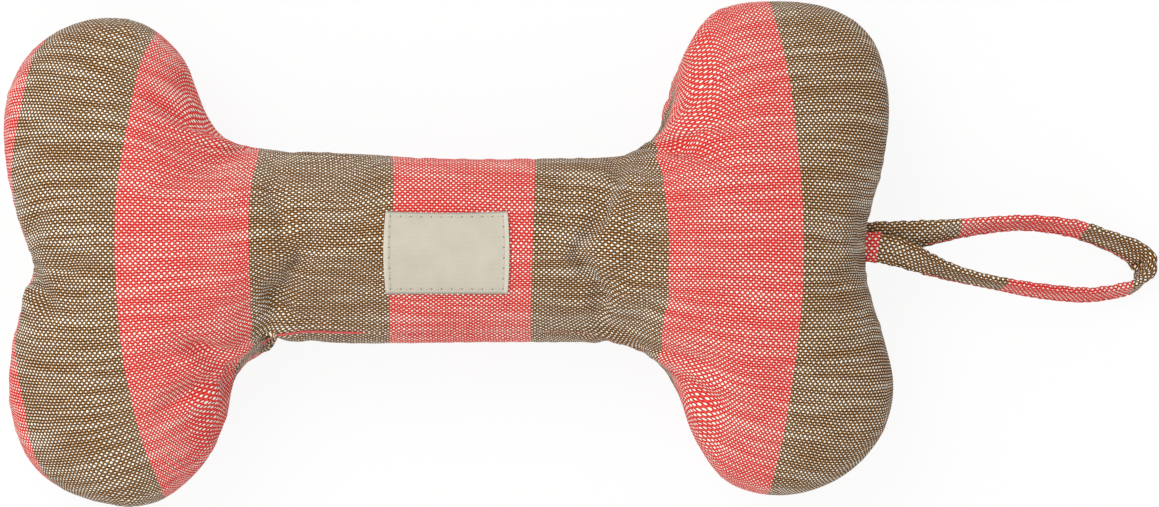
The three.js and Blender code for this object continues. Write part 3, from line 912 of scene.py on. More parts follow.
@dataclass(frozen=True)
class BonePattern:
    """The bone's outline as it lies stuffed, and the flat panel that it is cut from.

    The outline's points are shares of the half length and half width, round from the right notch.
    """

    half_length: float = 148.8
    half_width: float = 84.2
    shaft_ease: float = 14.0
    lobe_ease: float = 15.0
    ease_change: tuple[float, float] = (55.0, 85.0)
    cell: float = 3.0
    outline_step: float = 0.7
    outline_shares: tuple = (
        (0.937, 0.047), (0.940, 0.116), (0.946, 0.164), (0.975, 0.347), (0.989, 0.608),
        (0.951, 0.853), (0.868, 0.964), (0.733, 1.000), (0.598, 0.957), (0.526, 0.780),
        (0.493, 0.572), (0.468, 0.450), (0.404, 0.402), (0.241, 0.382), (-0.039, 0.382),
        (-0.241, 0.402), (-0.415, 0.418), (-0.507, 0.461), (-0.548, 0.584), (-0.595, 0.782),
        (-0.689, 0.917), (-0.812, 0.925), (-0.928, 0.814), (-0.989, 0.616), (-0.991, 0.350),
        (-0.951, 0.073), (-0.928, -0.050), (-0.948, -0.168), (-0.980, -0.414), (-0.978, -0.640),
        (-0.926, -0.850), (-0.812, -0.972), (-0.662, -0.992), (-0.551, -0.848), (-0.493, -0.646),
        (-0.473, -0.472), (-0.426, -0.384), (-0.330, -0.354), (-0.196, -0.358), (0.162, -0.350),
        (0.368, -0.362), (0.458, -0.414), (0.510, -0.533), (0.552, -0.731), (0.628, -0.909),
        (0.756, -0.960), (0.884, -0.885), (0.971, -0.723), (1.000, -0.533), (0.978, -0.335),
        (0.951, -0.184), (0.939, -0.097), (0.937, -0.014),
    )

    def outline(self) -> np.ndarray:
        """The stuffed bone's outline, anticlockwise from above."""
        corners = np.array(self.outline_shares) * (self.half_length, self.half_width)
        return evenly_spaced(smooth_curve(corners, 12, True), self.outline_step, True)

    def cut_edge(self) -> np.ndarray:
        """Lets the outline out by what the stuffing takes up, which gives the flat panel's seam line.

        Returns:
            The seam line's points.
        """
        outline = self.outline()
        lobe = smooth_share(*self.ease_change, np.abs(outline[:, 0]))
        ease = self.shaft_ease + (self.lobe_ease - self.shaft_ease) * lobe
        moved = outline + outwards_of(outline) * ease[:, None]
        kept = [
            place for place, by in zip(moved, ease)
            if np.sqrt(((outline - place) ** 2).sum(1)).min() > by - 0.15
        ]
        return evenly_spaced(np.array(kept), self.cell, True)

    def panel(self) -> tuple[np.ndarray, int, list[list[int]]]:
        """Divides the flat panel into woven cells.

        Returns:
            The points with those of the seam line first, how many are on it, and the faces.
        """
        edge = self.cut_edge()
        low, high = edge.min(0), edge.max(0)
        columns = np.arange(low[0] + self.cell / 2, high[0], self.cell)
        rows = np.arange(low[1] + self.cell / 2, high[1], self.cell)
        lattice = np.array([(x, y) for y in rows for x in columns])
        inside = np.zeros(len(lattice), bool)
        for start, end in zip(edge, np.roll(edge, -1, 0)):
            spans = (start[1] > lattice[:, 1]) != (end[1] > lattice[:, 1])
            if start[1] != end[1]:
                share = (lattice[:, 1] - start[1]) / (end[1] - start[1])
                inside ^= spans & (lattice[:, 0] < start[0] + share * (end[0] - start[0]))
        lattice = lattice[inside]
        lattice = lattice[nearest(lattice, edge)[0] > self.cell * 0.6]
        points = np.vstack([edge, lattice])
        count = len(edge)
        ring = [(number, (number + 1) % count) for number in range(count)]
        made = delaunay_2d_cdt([Vector(point) for point in points], ring, [], 1, 1e-5)
        numbers = [origin[0] for origin in made[3]]
        build = bmesh.new()
        corners = [build.verts.new((*point, 0.0)) for point in points]
        for face in made[2]:
            build.faces.new([corners[numbers[n]] for n in face])
        build.normal_update()
        bmesh.ops.join_triangles(
            build, faces=build.faces, angle_face_threshold=0.2, angle_shape_threshold=0.35
        )
        build.verts.index_update()
        build.normal_update()
        faces = [
            [v.index for v in (face.verts if face.normal.z > 0 else reversed(face.verts))]
            for face in build.faces
        ]
        build.free()
        return points, count, faces


@dataclass(frozen=True)
class Crease:
    """A valley in the stuffed cloth along a path seen from above, deepest near its start.

    A lean over 0 makes it wider on the left of its path. A depth under 0 makes it a ridge.
    """

    path: tuple
    depth: float
    width: float
    lean: float = 0.0

    def fall(self, plan: np.ndarray) -> np.ndarray:
        """How far the cloth sinks, with a low lip beside the valley.

        Args:
            plan: Places seen from above.

        Returns:
            The depth at each place.
        """
        line = evenly_spaced(smooth_curve(np.array(self.path, float), 8, False), 0.6, False)
        reach, number = nearest(plan, line)
        along = np.gradient(line, axis=0)[number]
        away = plan - line[number]
        side = np.sign(along[:, 0] * away[:, 1] - along[:, 1] * away[:, 0])
        gone = number / (len(line) - 1)
        tail = smooth_share(-0.15, 0.25, gone) * (1 - smooth_share(0.45, 1.0, gone))
        off = reach / (self.width * (1 + self.lean * side))
        return self.depth * tail * (np.exp(-(off**2)) - 0.3 * np.exp(-((off - 1.8) ** 2) / 0.7))


SEWN_CLOTH = {
    "quality": 6, "mass": 0.3, "air_damping": 6.0, "tension_stiffness": 200,
    "compression_stiffness": 60.0, "shear_stiffness": 15, "bending_stiffness": 1.0,
    "tension_damping": 5, "compression_damping": 5, "shear_damping": 5, "bending_damping": 0.5,
    "use_pressure": True, "uniform_pressure_force": 6.0,
}
CREASES = (
    Crease(((-76.0, 40.5), (-84.3, 43.9), (-91.0, 46.8), (-102.0, 51.0)), 3.4, 3.0, -0.2),
    Crease(((-79.0, 49.0), (-86.0, 54.0), (-94.0, 58.0)), 1.2, 3.4),
    Crease(((-69.5, -37.5), (-76.0, -34.5), (-83.0, -30.0), (-93.0, -25.0)), 2.5, 3.2),
    Crease(((-72.0, -42.5), (-80.0, -44.0), (-90.0, -50.0), (-98.0, -58.0)), 2.7, 3.0, -0.2),
    Crease(((-66.5, -35.0), (-70.5, -39.0), (-72.8, -45.0), (-74.5, -52.0)), 2.4, 1.9, 0.2),
    Crease(
        ((-53.4, -26.0), (-51.8, -22.2), (-53.8, -17.6), (-56.4, -13.3), (-57.7, -7.0)), 3.4, 2.7, 0.2
    ),
    Crease(((-44.5, -25.0), (-41.5, -21.5), (-38.5, -17.0)), 1.5, 2.4),
    Crease(
        ((49.0, -25.0), (53.5, -12.5), (62.0, -1.0), (62.5, 10.0), (61.0, 19.0), (62.0, 28.0)),
        2.0, 2.8, 0.2,
    ),
    Crease(((71.0, 35.5), (79.0, 33.2), (88.0, 31.0), (101.0, 27.0)), 3.3, 3.1, 0.2),
    Crease(((77.0, 46.0), (83.5, 53.0), (90.0, 60.0)), 1.1, 3.8),
    Crease(((73.5, -36.0), (83.0, -38.5), (93.0, -40.3), (101.0, -41.5)), 1.8, 3.2),
    Crease(((75.0, -40.5), (80.5, -43.8), (87.0, -47.6), (95.0, -52.5)), 2.8, 2.9, -0.1),
    Crease(((138.0, 14.0), (137.0, 3.0), (138.5, -14.0)), 1.3, 3.0),
    Crease(((-139.0, -4.5), (-134.0, -12.0), (-128.0, -25.0)), 2.4, 3.0),
    Crease(((-139.5, 5.0), (-133.0, 14.0), (-126.0, 20.0)), 1.6, 3.0),
)
BULGES = (
    Crease(((75.5, 61.0), (73.5, 54.0), (72.0, 46.5), (70.5, 39.0), (64.0, 34.0)), -1.7, 5.5),
)


@dataclass
class StuffedBone:
    """The two sewn panels, blown up by their filling.

    Each row of stripe_bows holds a place along the cloth, how far its bow reaches, how far the
    stripes move there at the middle line and out at a half width, and that half width. seam_lift and
    upper_lift turn the shaft's sides, in degrees, at places along it. Each ring of the folded edge
    holds how far in from the seam it is, how far off its plane, and how much cloth lies up to it.
    Creases, bulges and puckers start between two heights over the seam.
    """

    pattern: BonePattern = field(default_factory=BonePattern)
    shaft_half_height: float = 27.5
    lobe_half_height: float = 33.1
    flattening: float = 2.6
    edge_rounding: float = 0.5
    cloth_thickness: float = 0.9
    fold_radius: float = 0.9
    seam_allowance: float = 8.0
    folded_edge: tuple = ((0.3, 0.26, 0.7), (0.9, 0.06, 1.6), (4.0, 0.06, 4.6), (8.0, 0.06, 8.6))
    stripe_bows: tuple = (
        (-163.0, 36.0, 5.0, -2.0, 40.0), (-110.0, 24.0, 0.8, -3.3, 70.0),
        (-67.0, 22.0, 5.0, -3.2, 47.0), (74.0, 24.0, -3.5, 5.0, 48.0),
    )
    frames: int = 45
    sim_scale: float = 0.01
    parting: float = 6.0
    parting_reach: float = 25.0
    guess_height: float = 36.0
    guess_reach: float = 46.0
    calm_rounds: int = 12
    calm_step: float = 0.6
    calm_least: float = 0.08
    calm_more: float = 0.8
    calm_rim: tuple[float, float] = (2.0, 12.0)
    calm_ends: tuple[float, float] = (26.0, 46.0)
    outline_softening: tuple = (6, 4, 3, 2, 1, 1)
    seam_flatness: float = 0.4
    spine_half_width: float = 8.0
    shaft_reach: float = 35.0
    lobe_reach: float = 60.0
    shaft_to_lobe: tuple[float, float] = (40.0, 75.0)
    seam_lift: tuple = (
        (-69.0, 0.0), (-55.0, 27.0), (-30.0, 28.0), (-12.0, 23.0), (35.0, 23.0), (50.0, 19.0),
        (70.0, 0.0),
    )
    upper_lift: tuple = (
        (-64.0, 0.0), (-50.0, 12.0), (-32.0, 12.0), (-18.0, -9.0), (58.0, -9.0), (74.0, 0.0),
    )
    lower_bulge: float = 0.07
    upper_bulge_share: float = 0.4
    bulge_span: float = math.radians(75)
    edge_stations: tuple[float, float, float] = (-58.0, 60.0, 4.0)
    station_reach: float = 3.0
    floor_softness: float = 1.6
    floor_reach: float = 6.0
    creases: tuple = CREASES
    back_bulges: tuple = BULGES
    back_stripe_shift: tuple = ((30.0, 0.0), (60.0, 12.0), (90.0, 12.0), (130.0, 6.0))
    pucker_height: float = 0.3
    pucker_pitch: float = 7.3
    pucker_reach: float = 9.0
    crease_start: tuple[float, float] = (1.5, 9.0)
    bulge_start: tuple[float, float] = (0.5, 4.0)
    pucker_start: tuple[float, float] = (0.8, 3.0)
    weave_rounds: int = 150
    evening_step: int = 6
    last_evenings: int = 3
    rim_rounds: int = 30
    rim_reach: float = 2.5
    sheets: list = field(default_factory=list)

    def build(self) -> None:
        """Works out the stuffed cloth's shape, its seam and the place of its weave."""
        self.flat, self.ring, self.faces = self.pattern.panel()
        self.points = len(self.flat)
        log.info("panel: %d points, %d cells", self.points, len(self.faces))
        self.places = self.inflate()
        self.calm_shaft()
        self.fit_outline()
        self.set_heights()
        self.lift_lower_seam()
        self.rest_on_floor()
        self.seam = self.places[:self.ring].copy()
        self.inwards = self.seam_normals()
        self.weave = self.settled_weave()

    def back_number(self, number: int) -> int:
        """Number on the back of a point of the front panel."""
        return number if number < self.ring else number + self.points - self.ring

    def whole_faces(self) -> list[tuple[int, ...]]:
        """Faces of the closed bag, front and back."""
        front = [tuple(face) for face in self.faces]
        back = [tuple(self.back_number(n) for n in reversed(face)) for face in self.faces]
        return front + back

    def start(self) -> np.ndarray:
        """Lays the two panels on each other, hardly parted.

        Returns:
            The places of the closed bag's points, in millimetres.
        """
        reach = nearest(self.flat, self.flat[:self.ring])[0]
        height = self.parting * np.sqrt(np.minimum(reach, self.parting_reach) / self.parting_reach)
        front = np.column_stack([self.flat, height])
        back = np.column_stack([self.flat[self.ring:], -height[self.ring:]])
        return np.vstack([front, back])

    def inflate(self) -> np.ndarray:
        """Sews the flat panels together and blows them up with Blender's cloth.

        Returns:
            The places of the closed bag's points, in millimetres.
        """
        mesh = bpy.data.meshes.new("bag")
        mesh.from_pydata((self.start() * self.sim_scale).tolist(), [], self.whole_faces())
        bag = bpy.data.objects.new("bag", mesh)
        scene = bpy.context.scene
        scene.collection.objects.link(bag)
        cloth = bag.modifiers.new("cloth", "CLOTH")
        cloth.point_cache.frame_start = 1
        cloth.point_cache.frame_end = self.frames + 1
        cloth.collision_settings.use_collision = False
        cloth.collision_settings.use_self_collision = False
        for name, value in SEWN_CLOTH.items():
            setattr(cloth.settings, name, value)
        cloth.settings.effector_weights.gravity = 0
        for number in range(1, self.frames + 1):
            scene.frame_set(number)
        evaluated = bag.evaluated_get(bpy.context.evaluated_depsgraph_get())
        places = np.empty(len(evaluated.data.vertices) * 3)
        evaluated.data.vertices.foreach_get("co", places)
        bpy.data.objects.remove(bag)
        scene.frame_set(1)
        return places.reshape(-1, 3) / self.sim_scale

    def neighbours(self) -> tuple[np.ndarray, np.ndarray]:
        """Finds both ends of every edge of the closed bag, each edge both ways.

        Returns:
            Numbers of the near ends, and of the far ends.
        """
        pairs = set()
        for face in self.whole_faces():
            for start, end in zip(face, face[1:] + face[:1]):
                pairs.add((start, end))
                pairs.add((end, start))
        ends = np.array(sorted(pairs))
        return ends[:, 0], ends[:, 1]

    def calm_shaft(self) -> None:
        """Eases the sharp cross folds that the simulation leaves on the shaft."""
        near, far = self.neighbours()
        count = np.bincount(near, minlength=len(self.places))[:, None]
        everywhere = np.concatenate([self.flat, self.flat[self.ring:]])
        along = np.abs(everywhere[:, 0])
        strength = self.calm_least + self.calm_more * (1 - smooth_share(*self.calm_ends, along))
        strength *= smooth_share(*self.calm_rim, nearest(everywhere, self.flat[:self.ring])[0])
        for _ in range(self.calm_rounds):
            total = np.zeros_like(self.places)
            np.add.at(total, near, self.places[far])
            self.places += (total / count - self.places) * (strength[:, None] * self.calm_step)

    def fit_outline(self) -> None:
        """Moves the seam onto the outline, and the cloth along with it."""
        outline = self.pattern.outline()
        seam = self.places[:self.ring, :2].copy()
        for softening in self.outline_softening:
            wanted = outline[nearest(seam, outline)[1]] - seam
            for _ in range(softening):
                wanted = (np.roll(wanted, 1, 0) + 2 * wanted + np.roll(wanted, -1, 0)) / 4
            seam += wanted
        move = seam - self.places[:self.ring, :2]
        apart = self.flat[self.ring:, None, :] - self.flat[None, :self.ring, :]
        weights = 1 / (apart**2).sum(2) ** 1.5
        inner = weights @ move / weights.sum(1)[:, None]
        self.places[:self.ring, :2] += move
        self.places[self.ring:self.points, :2] += inner
        self.places[self.points:, :2] += inner
        self.places[:self.ring, 2] *= self.seam_flatness

    def set_heights(self) -> None:
        """Scales the shaft and the lobes to their thickness."""
        x, y, z = self.places.T
        spine = np.abs(y) < self.spine_half_width
        shaft = np.median(np.abs(z[spine & (np.abs(x) < self.shaft_reach)]))
        lobe = np.abs(z[np.abs(x) > self.lobe_reach]).max()
        share = smooth_share(*self.shaft_to_lobe, np.abs(x))
        top = self.lobe_half_height + np.where(z < 0, self.flattening, 0)
        most = (1 - share) * shaft + share * lobe
        wanted = (1 - share) * self.shaft_half_height + share * top
        power = 1 - share * self.edge_rounding
        self.places[:, 2] = np.sign(z) * wanted * (np.abs(z) / most) ** power

    def lift_lower_seam(self) -> None:
        """Turns the lower seam of the shaft up to where it shows from above."""
        x, y, z = self.places.T
        reach = np.mean([self.lower_edge(at) for at in (-self.lobe_reach, 0, self.lobe_reach)])
        stations, lifts = np.array(self.seam_lift).T
        lift = np.interp(x, stations, lifts)
        share = lift / lifts.max()
        angle = np.arctan2(z, y)
        from_seam = np.abs(np.abs(angle) - math.pi)
        turn = -np.radians(lift) * np.maximum(np.cos(from_seam), 0)
        stations, lifts = np.array(self.upper_lift).T
        turn += np.radians(np.interp(x, stations, lifts)) * np.maximum(np.cos(angle), 0) ** 2

        def section(theta: np.ndarray) -> np.ndarray:
            """Reach of the shaft's oval section in a direction."""
            tall = np.sin(theta) / self.shaft_half_height
            return 1 / np.sqrt((np.cos(theta) / reach) ** 2 + tall**2)

        radius = np.hypot(y, z) * section(angle + turn) / section(angle)
        bulging = np.sin(np.pi * np.clip(from_seam / self.bulge_span, 0, 1))
        bulging *= np.where(z < 0, 1.0, self.upper_bulge_share)
        radius *= 1 + self.lower_bulge * share * bulging
        moved = share > 0
        self.places[moved, 1] = (radius * np.cos(angle + turn))[moved]
        self.places[moved, 2] = (radius * np.sin(angle + turn))[moved]
        self.fit_lower_edge(share, reach)

    def fit_lower_edge(self, share: np.ndarray, reach: float) -> None:
        """Brings the shaft's lower side out to its outline again.

        Args:
            share: How much each place belongs to the shaft.
            reach: How far the shaft's lower edge is from its middle line.
        """
        outline = self.pattern.outline()
        lower = outline[outline[:, 1] < 0]
        x, y = self.places[:, 0], self.places[:, 1]
        stations = np.arange(*self.edge_stations)
        factors = [
            lower[np.abs(lower[:, 0] - station).argmin(), 1]
            / y[np.abs(x - station) < self.station_reach].min()
            for station in stations
        ]
        factor = (np.interp(x, stations, factors) - 1) * share
        self.places[:, 1] = np.where(y < 0, y * (1 + factor * np.clip(-y / reach, 0, 1) ** 2), y)

    def lower_edge(self, x: float) -> float:
        """How far the shaft's lower edge is from its middle line.

        Args:
            x: The place along it.

        Returns:
            The distance.
        """
        seam = self.places[:self.ring]
        below = seam[seam[:, 1] < 0]
        return -below[np.abs(below[:, 0] - x).argmin(), 1]

    def rest_on_floor(self) -> None:
        """Flattens what would reach under the floor."""
        floor = -BONE_PLACE[2]
        over = self.places[:, 2] - floor
        eased = (over + np.sqrt(over**2 + self.floor_softness**2)) / 2
        blend = smooth_share(2 * self.floor_reach, self.floor_reach, over)
        self.places[:, 2] = floor + over + (eased - over) * blend
        self.places[:, 2] += floor - self.places[:, 2].min()

    def seam_normals(self) -> np.ndarray:
        """Level directions from the seam into the bone.

        Returns:
            A direction for each of its points.
        """
        along = np.roll(self.seam, -1, 0) - np.roll(self.seam, 1, 0)
        inwards = np.column_stack([-along[:, 1], along[:, 0], np.zeros(self.ring)])
        for _ in range(2):
            inwards = (np.roll(inwards, 1, 0) + inwards + np.roll(inwards, -1, 0)) / 3
        return inwards / np.linalg.norm(inwards, axis=1)[:, None]

    def panel_piece(self, side: Side, name: str) -> bpy.types.Object:
        """Makes one panel, its edge folded in along the seam.

        Args:
            side: Which panel.
            name: The piece's name.

        Returns:
            The panel.
        """
        numbers = np.array([
            n if side is Side.FRONT else self.back_number(n) for n in range(self.points)
        ])
        order = side.value
        places = self.places[numbers]
        places[:self.ring, 2] += order * self.fold_radius
        flat = self.weave[numbers]
        outwards = outwards_of(self.flat[:self.ring])
        faces = [list(face)[::order] for face in self.faces]
        last = np.arange(self.ring)
        for depth, rise, cloth in self.folded_edge:
            extra = self.seam + self.inwards * depth
            extra[:, 2] += order * rise
            fresh = np.arange(len(places), len(places) + self.ring)
            places = np.vstack([places, extra])
            flat = np.vstack([flat, flat[:self.ring] + outwards * cloth])
            after, beyond = np.roll(last, -1), np.roll(fresh, -1)
            faces += [list(face)[::order] for face in zip(after, last, fresh, beyond)]
            last = fresh
        thing = make_object(name, places, faces, self.cloth_coordinates(flat, side))
        even = thing.modifiers.new("even", "SUBSURF")
        even.levels = even.render_levels = 1
        bake_modifiers(thing)
        self.crease_piece(thing, side)
        self.sheets.append(thing.data.copy())
        thick = thing.modifiers.new("thick", "SOLIDIFY")
        thick.thickness = self.cloth_thickness * MM
        thick.offset = -1
        thick.use_rim = True
        bake_modifiers(thing)
        return thing

    def settled_weave(self) -> np.ndarray:
        """Slides the weave over the stuffed cloth until its cells are as long there as laid flat.

        Returns:
            Where each point of the closed bag lies on the flat cloth.
        """
        near, far = self.neighbours()
        lengths = np.linalg.norm(self.places[near] - self.places[far], axis=1)
        flat = np.concatenate([self.flat, self.flat[self.ring:]])
        count = np.bincount(near, minlength=len(flat))
        at_rim = np.exp(-nearest(flat, self.flat[:self.ring])[0] / self.rim_reach)
        slid = np.zeros_like(flat)
        for turn in range(self.weave_rounds + self.rim_rounds):
            weave = flat + slid
            gap = weave[far] - weave[near]
            pull = gap * (1 - lengths / np.maximum(np.linalg.norm(gap, axis=1), 0.05))[:, None]
            evening = turn % self.evening_step == self.evening_step - 1
            evening = evening or turn >= self.weave_rounds - self.last_evenings
            for axis in (0, 1):
                mean_pull = np.bincount(near, pull[:, axis], len(flat)) / count
                if turn >= self.weave_rounds:
                    slid[:, axis] += at_rim * mean_pull
                elif evening:
                    slid[:, axis] = np.bincount(near, slid[far, axis], len(flat)) / count
                else:
                    slid[:, axis] += mean_pull
        return flat + slid

    def crease_piece(self, thing: bpy.types.Object, side: Side) -> None:
        """Sinks a panel's creases and puckers into its mesh, away from its folded edge.

        Args:
            thing: The panel, as one sheet.
            side: Which panel.
        """
        count = len(thing.data.vertices)
        places = np.empty(count * 3)
        thing.data.vertices.foreach_get("co", places)
        places = places.reshape(-1, 3) / MM - BONE_PLACE
        places -= vertex_normals(thing) * self.fall(places, side)[:, None]
        thing.data.vertices.foreach_set("co", ((places + BONE_PLACE) * MM).ravel())
        thing.data.update()

    def fall(self, places: np.ndarray, side: Side) -> np.ndarray:
        """How far the cloth sinks below its smooth form.

        Args:
            places: Places on the smooth form.
            side: Which panel they are on. The back's creases are the front's turned over.

        Returns:
            The depth at each place.
        """
        reach, number = nearest(places, self.seam)
        height = side.value * (places[:, 2] - self.seam[number, 2])
        plan = places[:, :2] * (1, side.value)
        depth = sum(crease.fall(plan) for crease in self.creases)
        depth *= smooth_share(*self.crease_start, height)
        if side is Side.BACK:
            bulging = sum(bulge.fall(places[:, :2]) for bulge in self.back_bulges)
            depth += bulging * smooth_share(*self.bulge_start, height)
        run = run_length(self.seam)[number]
        phase = 2 * math.pi * run / self.pucker_pitch + 1.9 * np.sin(run * 0.21)
        pucker = self.pucker_height * np.sin(phase) * np.exp(-reach / self.pucker_reach)
        return depth + pucker * smooth_share(*self.pucker_start, height)

    def cloth_coordinates(self, flat: np.ndarray, side: Side) -> np.ndarray:
        """Where points lie on the striped cloth, whose stripes bow a little as it is cut.

        Args:
            flat: Places on the flat panel.
            side: Which panel. The back's stripes do not quite meet the front's.

        Returns:
            Places on the cloth.
        """
        cloth = flat.copy()
        if side is Side.BACK:
            stations, shifts = np.array(self.back_stripe_shift).T
            cloth[:, 0] += np.interp(flat[:, 0], stations, shifts, left=0, right=shifts[-1])
        for place, reach, middle, outer, half in self.stripe_bows:
            near = 1 - smooth_share(0, reach, np.abs(flat[:, 0] - place))
            across = np.minimum(np.abs(flat[:, 1]) / half, 1.3) ** 2
            cloth[:, 0] += near * (middle + (outer - middle) * across)
        return cloth

    def surface(self) -> BVHTree:
        """The bone's plain surface, without creases, to lay things on."""
        return BVHTree.FromPolygons(self.places.tolist(), self.whole_faces())


@dataclass
class SqueakerPocket:
    """The hollow in the filling round the squeaker."""

    centre: tuple[float, float, float] = (0.0, 0.0, 0.0)
    radius: float = 22.5
    half_height: float = 13.0
    steps: int = 24

    def shell(self) -> tuple[np.ndarray, list[tuple[int, ...]]]:
        """The hollow's wall, facing into the hollow.

        Returns:
            The wall's points and faces.
        """
        build = bmesh.new()
        bmesh.ops.create_uvsphere(build, u_segments=self.steps, v_segments=self.steps // 2, radius=1)
        places = np.array([v.co for v in build.verts]) * (self.radius, self.radius, self.half_height)
        faces = [tuple(v.index for v in reversed(face.verts)) for face in build.faces]
        build.free()
        return places + self.centre, faces


@dataclass
class FibreFilling:
    """The fibre that fills the bag, with the hollow that holds the squeaker.

    It is the cloth's form, drawn in towards the lines of the bone's core.
    """

    pocket: SqueakerPocket = field(default_factory=SqueakerPocket)
    gap: float = 1.2
    rim_gap: float = 3.0
    rim_reach: float = 7.0
    allowance_gap: float = 1.5
    cloth_gap: float = 0.5
    clearing_passes: int = 2
    core: tuple = (
        ((-112.0, 0.0), (112.0, 0.0)), ((-112.0, -42.0), (-112.0, 42.0)),
        ((112.0, -42.0), (112.0, 42.0)),
    )
    core_steps: int = 60

    def piece(self, bone: StuffedBone, name: str) -> bpy.types.Object:
        """Makes and dresses the filling.

        Args:
            bone: The stuffed bone, its panels made.
            name: The piece's name.

        Returns:
            The filling.
        """
        filling = self.drawn_in(bone, self.normals(bone))
        self.clear_cloth(filling, bone)
        hollow, hollow_faces = self.pocket.shell()
        faces = [tuple(n + len(filling) for n in face) for face in hollow_faces]
        thing = make_object(name, np.vstack([filling, hollow]), bone.whole_faces() + faces)
        thing.data.materials.append(FibreFinish().material())
        return thing

    def normals(self, bone: StuffedBone) -> np.ndarray:
        """Works out which way the bag's surface faces.

        Args:
            bone: The stuffed bone.

        Returns:
            The normal at each point of the closed bag.
        """
        bag = make_object("bag_form", bone.places, bone.whole_faces())
        normals = vertex_normals(bag)
        bpy.data.objects.remove(bag)
        return normals

    def drawn_in(self, bone: StuffedBone, normals: np.ndarray) -> np.ndarray:
        """Draws the bag's form in towards its core, and down where the cloth is creased.

        Args:
            bone: The stuffed bone.
            normals: Which way its surface faces.

        Returns:
            The filling's points.
        """
        near_seam = np.exp(-nearest(bone.places, bone.seam)[0] / self.rim_reach)
        least = bone.cloth_thickness + self.gap + bone.pucker_height
        depth = least + self.rim_gap * near_seam
        depth[:bone.ring] = bone.seam_allowance + self.allowance_gap
        sunk = np.zeros(len(bone.places))
        for side in Side:
            facing = side.value * bone.places[:, 2] > 0
            sunk += np.where(facing, np.maximum(bone.fall(bone.places, side), 0), 0)
        core = np.vstack([
            np.linspace((*start, 0.0), (*end, 0.0), self.core_steps) for start, end in self.core
        ])
        inwards = core[nearest(bone.places, core)[1]] - bone.places
        inwards /= np.linalg.norm(inwards, axis=1)[:, None]
        return bone.places + inwards * depth[:, None] - normals * sunk[:, None]

    def clear_cloth(self, filling: np.ndarray, bone: StuffedBone) -> None:
        """Pushes the filling in until it lies under both panels' cloth.

        Args:
            filling: The filling's points, which are moved.
            bone: The stuffed bone. Its sheets are used up.
        """
        build = bmesh.new()
        for sheet in bone.sheets:
            build.from_mesh(sheet)
            bpy.data.meshes.remove(sheet)
        cloth = BVHTree.FromBMesh(build)
        build.free()
        least = (bone.cloth_thickness + self.cloth_gap) * MM
        for _ in range(self.clearing_passes):
            for number in range(bone.ring, len(filling)):
                place = Vector((filling[number] + BONE_PLACE) * MM)
                spot, normal, _, _ = cloth.find_nearest(place)
                short = least - (spot - place).dot(normal)
                if short > 0:
                    filling[number] -= np.array(normal) * (short / MM)


@dataclass
class SewnBody:
    """The stuffed bone with its seam threads."""

    bone: StuffedBone = field(default_factory=StuffedBone)
    filling: FibreFilling = field(default_factory=FibreFilling)
    stripe_edges: tuple[float, ...] = (-156.4, -111.4, -65.0, -18.5, 27.4, 74.2, 120.5, 173.0)
    stitch_pitch: float = 2.8
    groove: float = 1.0
    shown_rise: float = 0.65
    by_hand_rise: float = 0.5
    closing_start: float = -65.0
    closing_end: float = -28.0

    def build(self, stitches: StitchRun) -> None:
        """Makes and dresses the panels, the filling and the seam's threads.

        Args:
            stitches: The stitch tree.
        """
        self.bone.build()
        cotton = SlubCotton("striped_slub_cotton", self.stripe_edges).material()
        front = self.bone.panel_piece(Side.FRONT, "front_panel_cloth")
        back = self.bone.panel_piece(Side.BACK, "back_panel_cloth")
        for panel in (front, back):
            panel.data.materials.clear()
            panel.data.materials.append(cotton)
        filling = self.filling.piece(self.bone, "fibre_filling")
        seat(front, "bone", "striped_cotton", "front_panel")
        seat(back, "bone", "striped_cotton", "back_panel")
        seat(
            filling, "bone", "fibre_filling", "filling_shaft_front", "filling_shaft_back",
            "filling_lobe_upper_left", "filling_lobe_lower_left",
            "filling_lobe_upper_right", "filling_lobe_lower_right",
        )
        self.sew_seam(stitches)

    def sew_seam(self, stitches: StitchRun) -> None:
        """Lays the machine seam's thread in the groove, and the hand stitches that close it.

        Args:
            stitches: The stitch tree.
        """
        thread = CORAL_THREAD.material()
        x, y = self.bone.seam[:, 0], self.bone.seam[:, 1]
        shown = np.where(y < 0, smooth_share(70, 60, np.abs(x)), 0)
        path = self.bone.seam + self.bone.inwards * (self.groove - self.shown_rise * shown)[:, None]
        x, y = path[:, 0], path[:, 1]
        closing = (y < 0) & (x > self.closing_start) & (x < self.closing_end)
        order = np.roll(np.arange(len(path)), -int(np.flatnonzero(closing)[-1]) - 1)
        by_machine, by_hand = order[~closing[order]], order[closing[order]]
        seam = stitches.sew(
            "edge_seam_stitches", path[by_machine], thread,
            pitch=self.stitch_pitch, length=2.7, radius=0.3, slant=5, seed=3,
        )
        hand = stitches.sew(
            "closing_hand_stitches",
            path[by_hand] - self.bone.inwards[by_hand] * self.by_hand_rise, thread,
            pitch=2.4, length=3.6, radius=0.46, slant=6, seed=5,
        )
        seat(seam, "bone", "seam_thread", "edge_seam_thread_front_run", "edge_seam_thread_closing_run")
        seat(hand, "bone", "seam_thread", "closing_stitches")


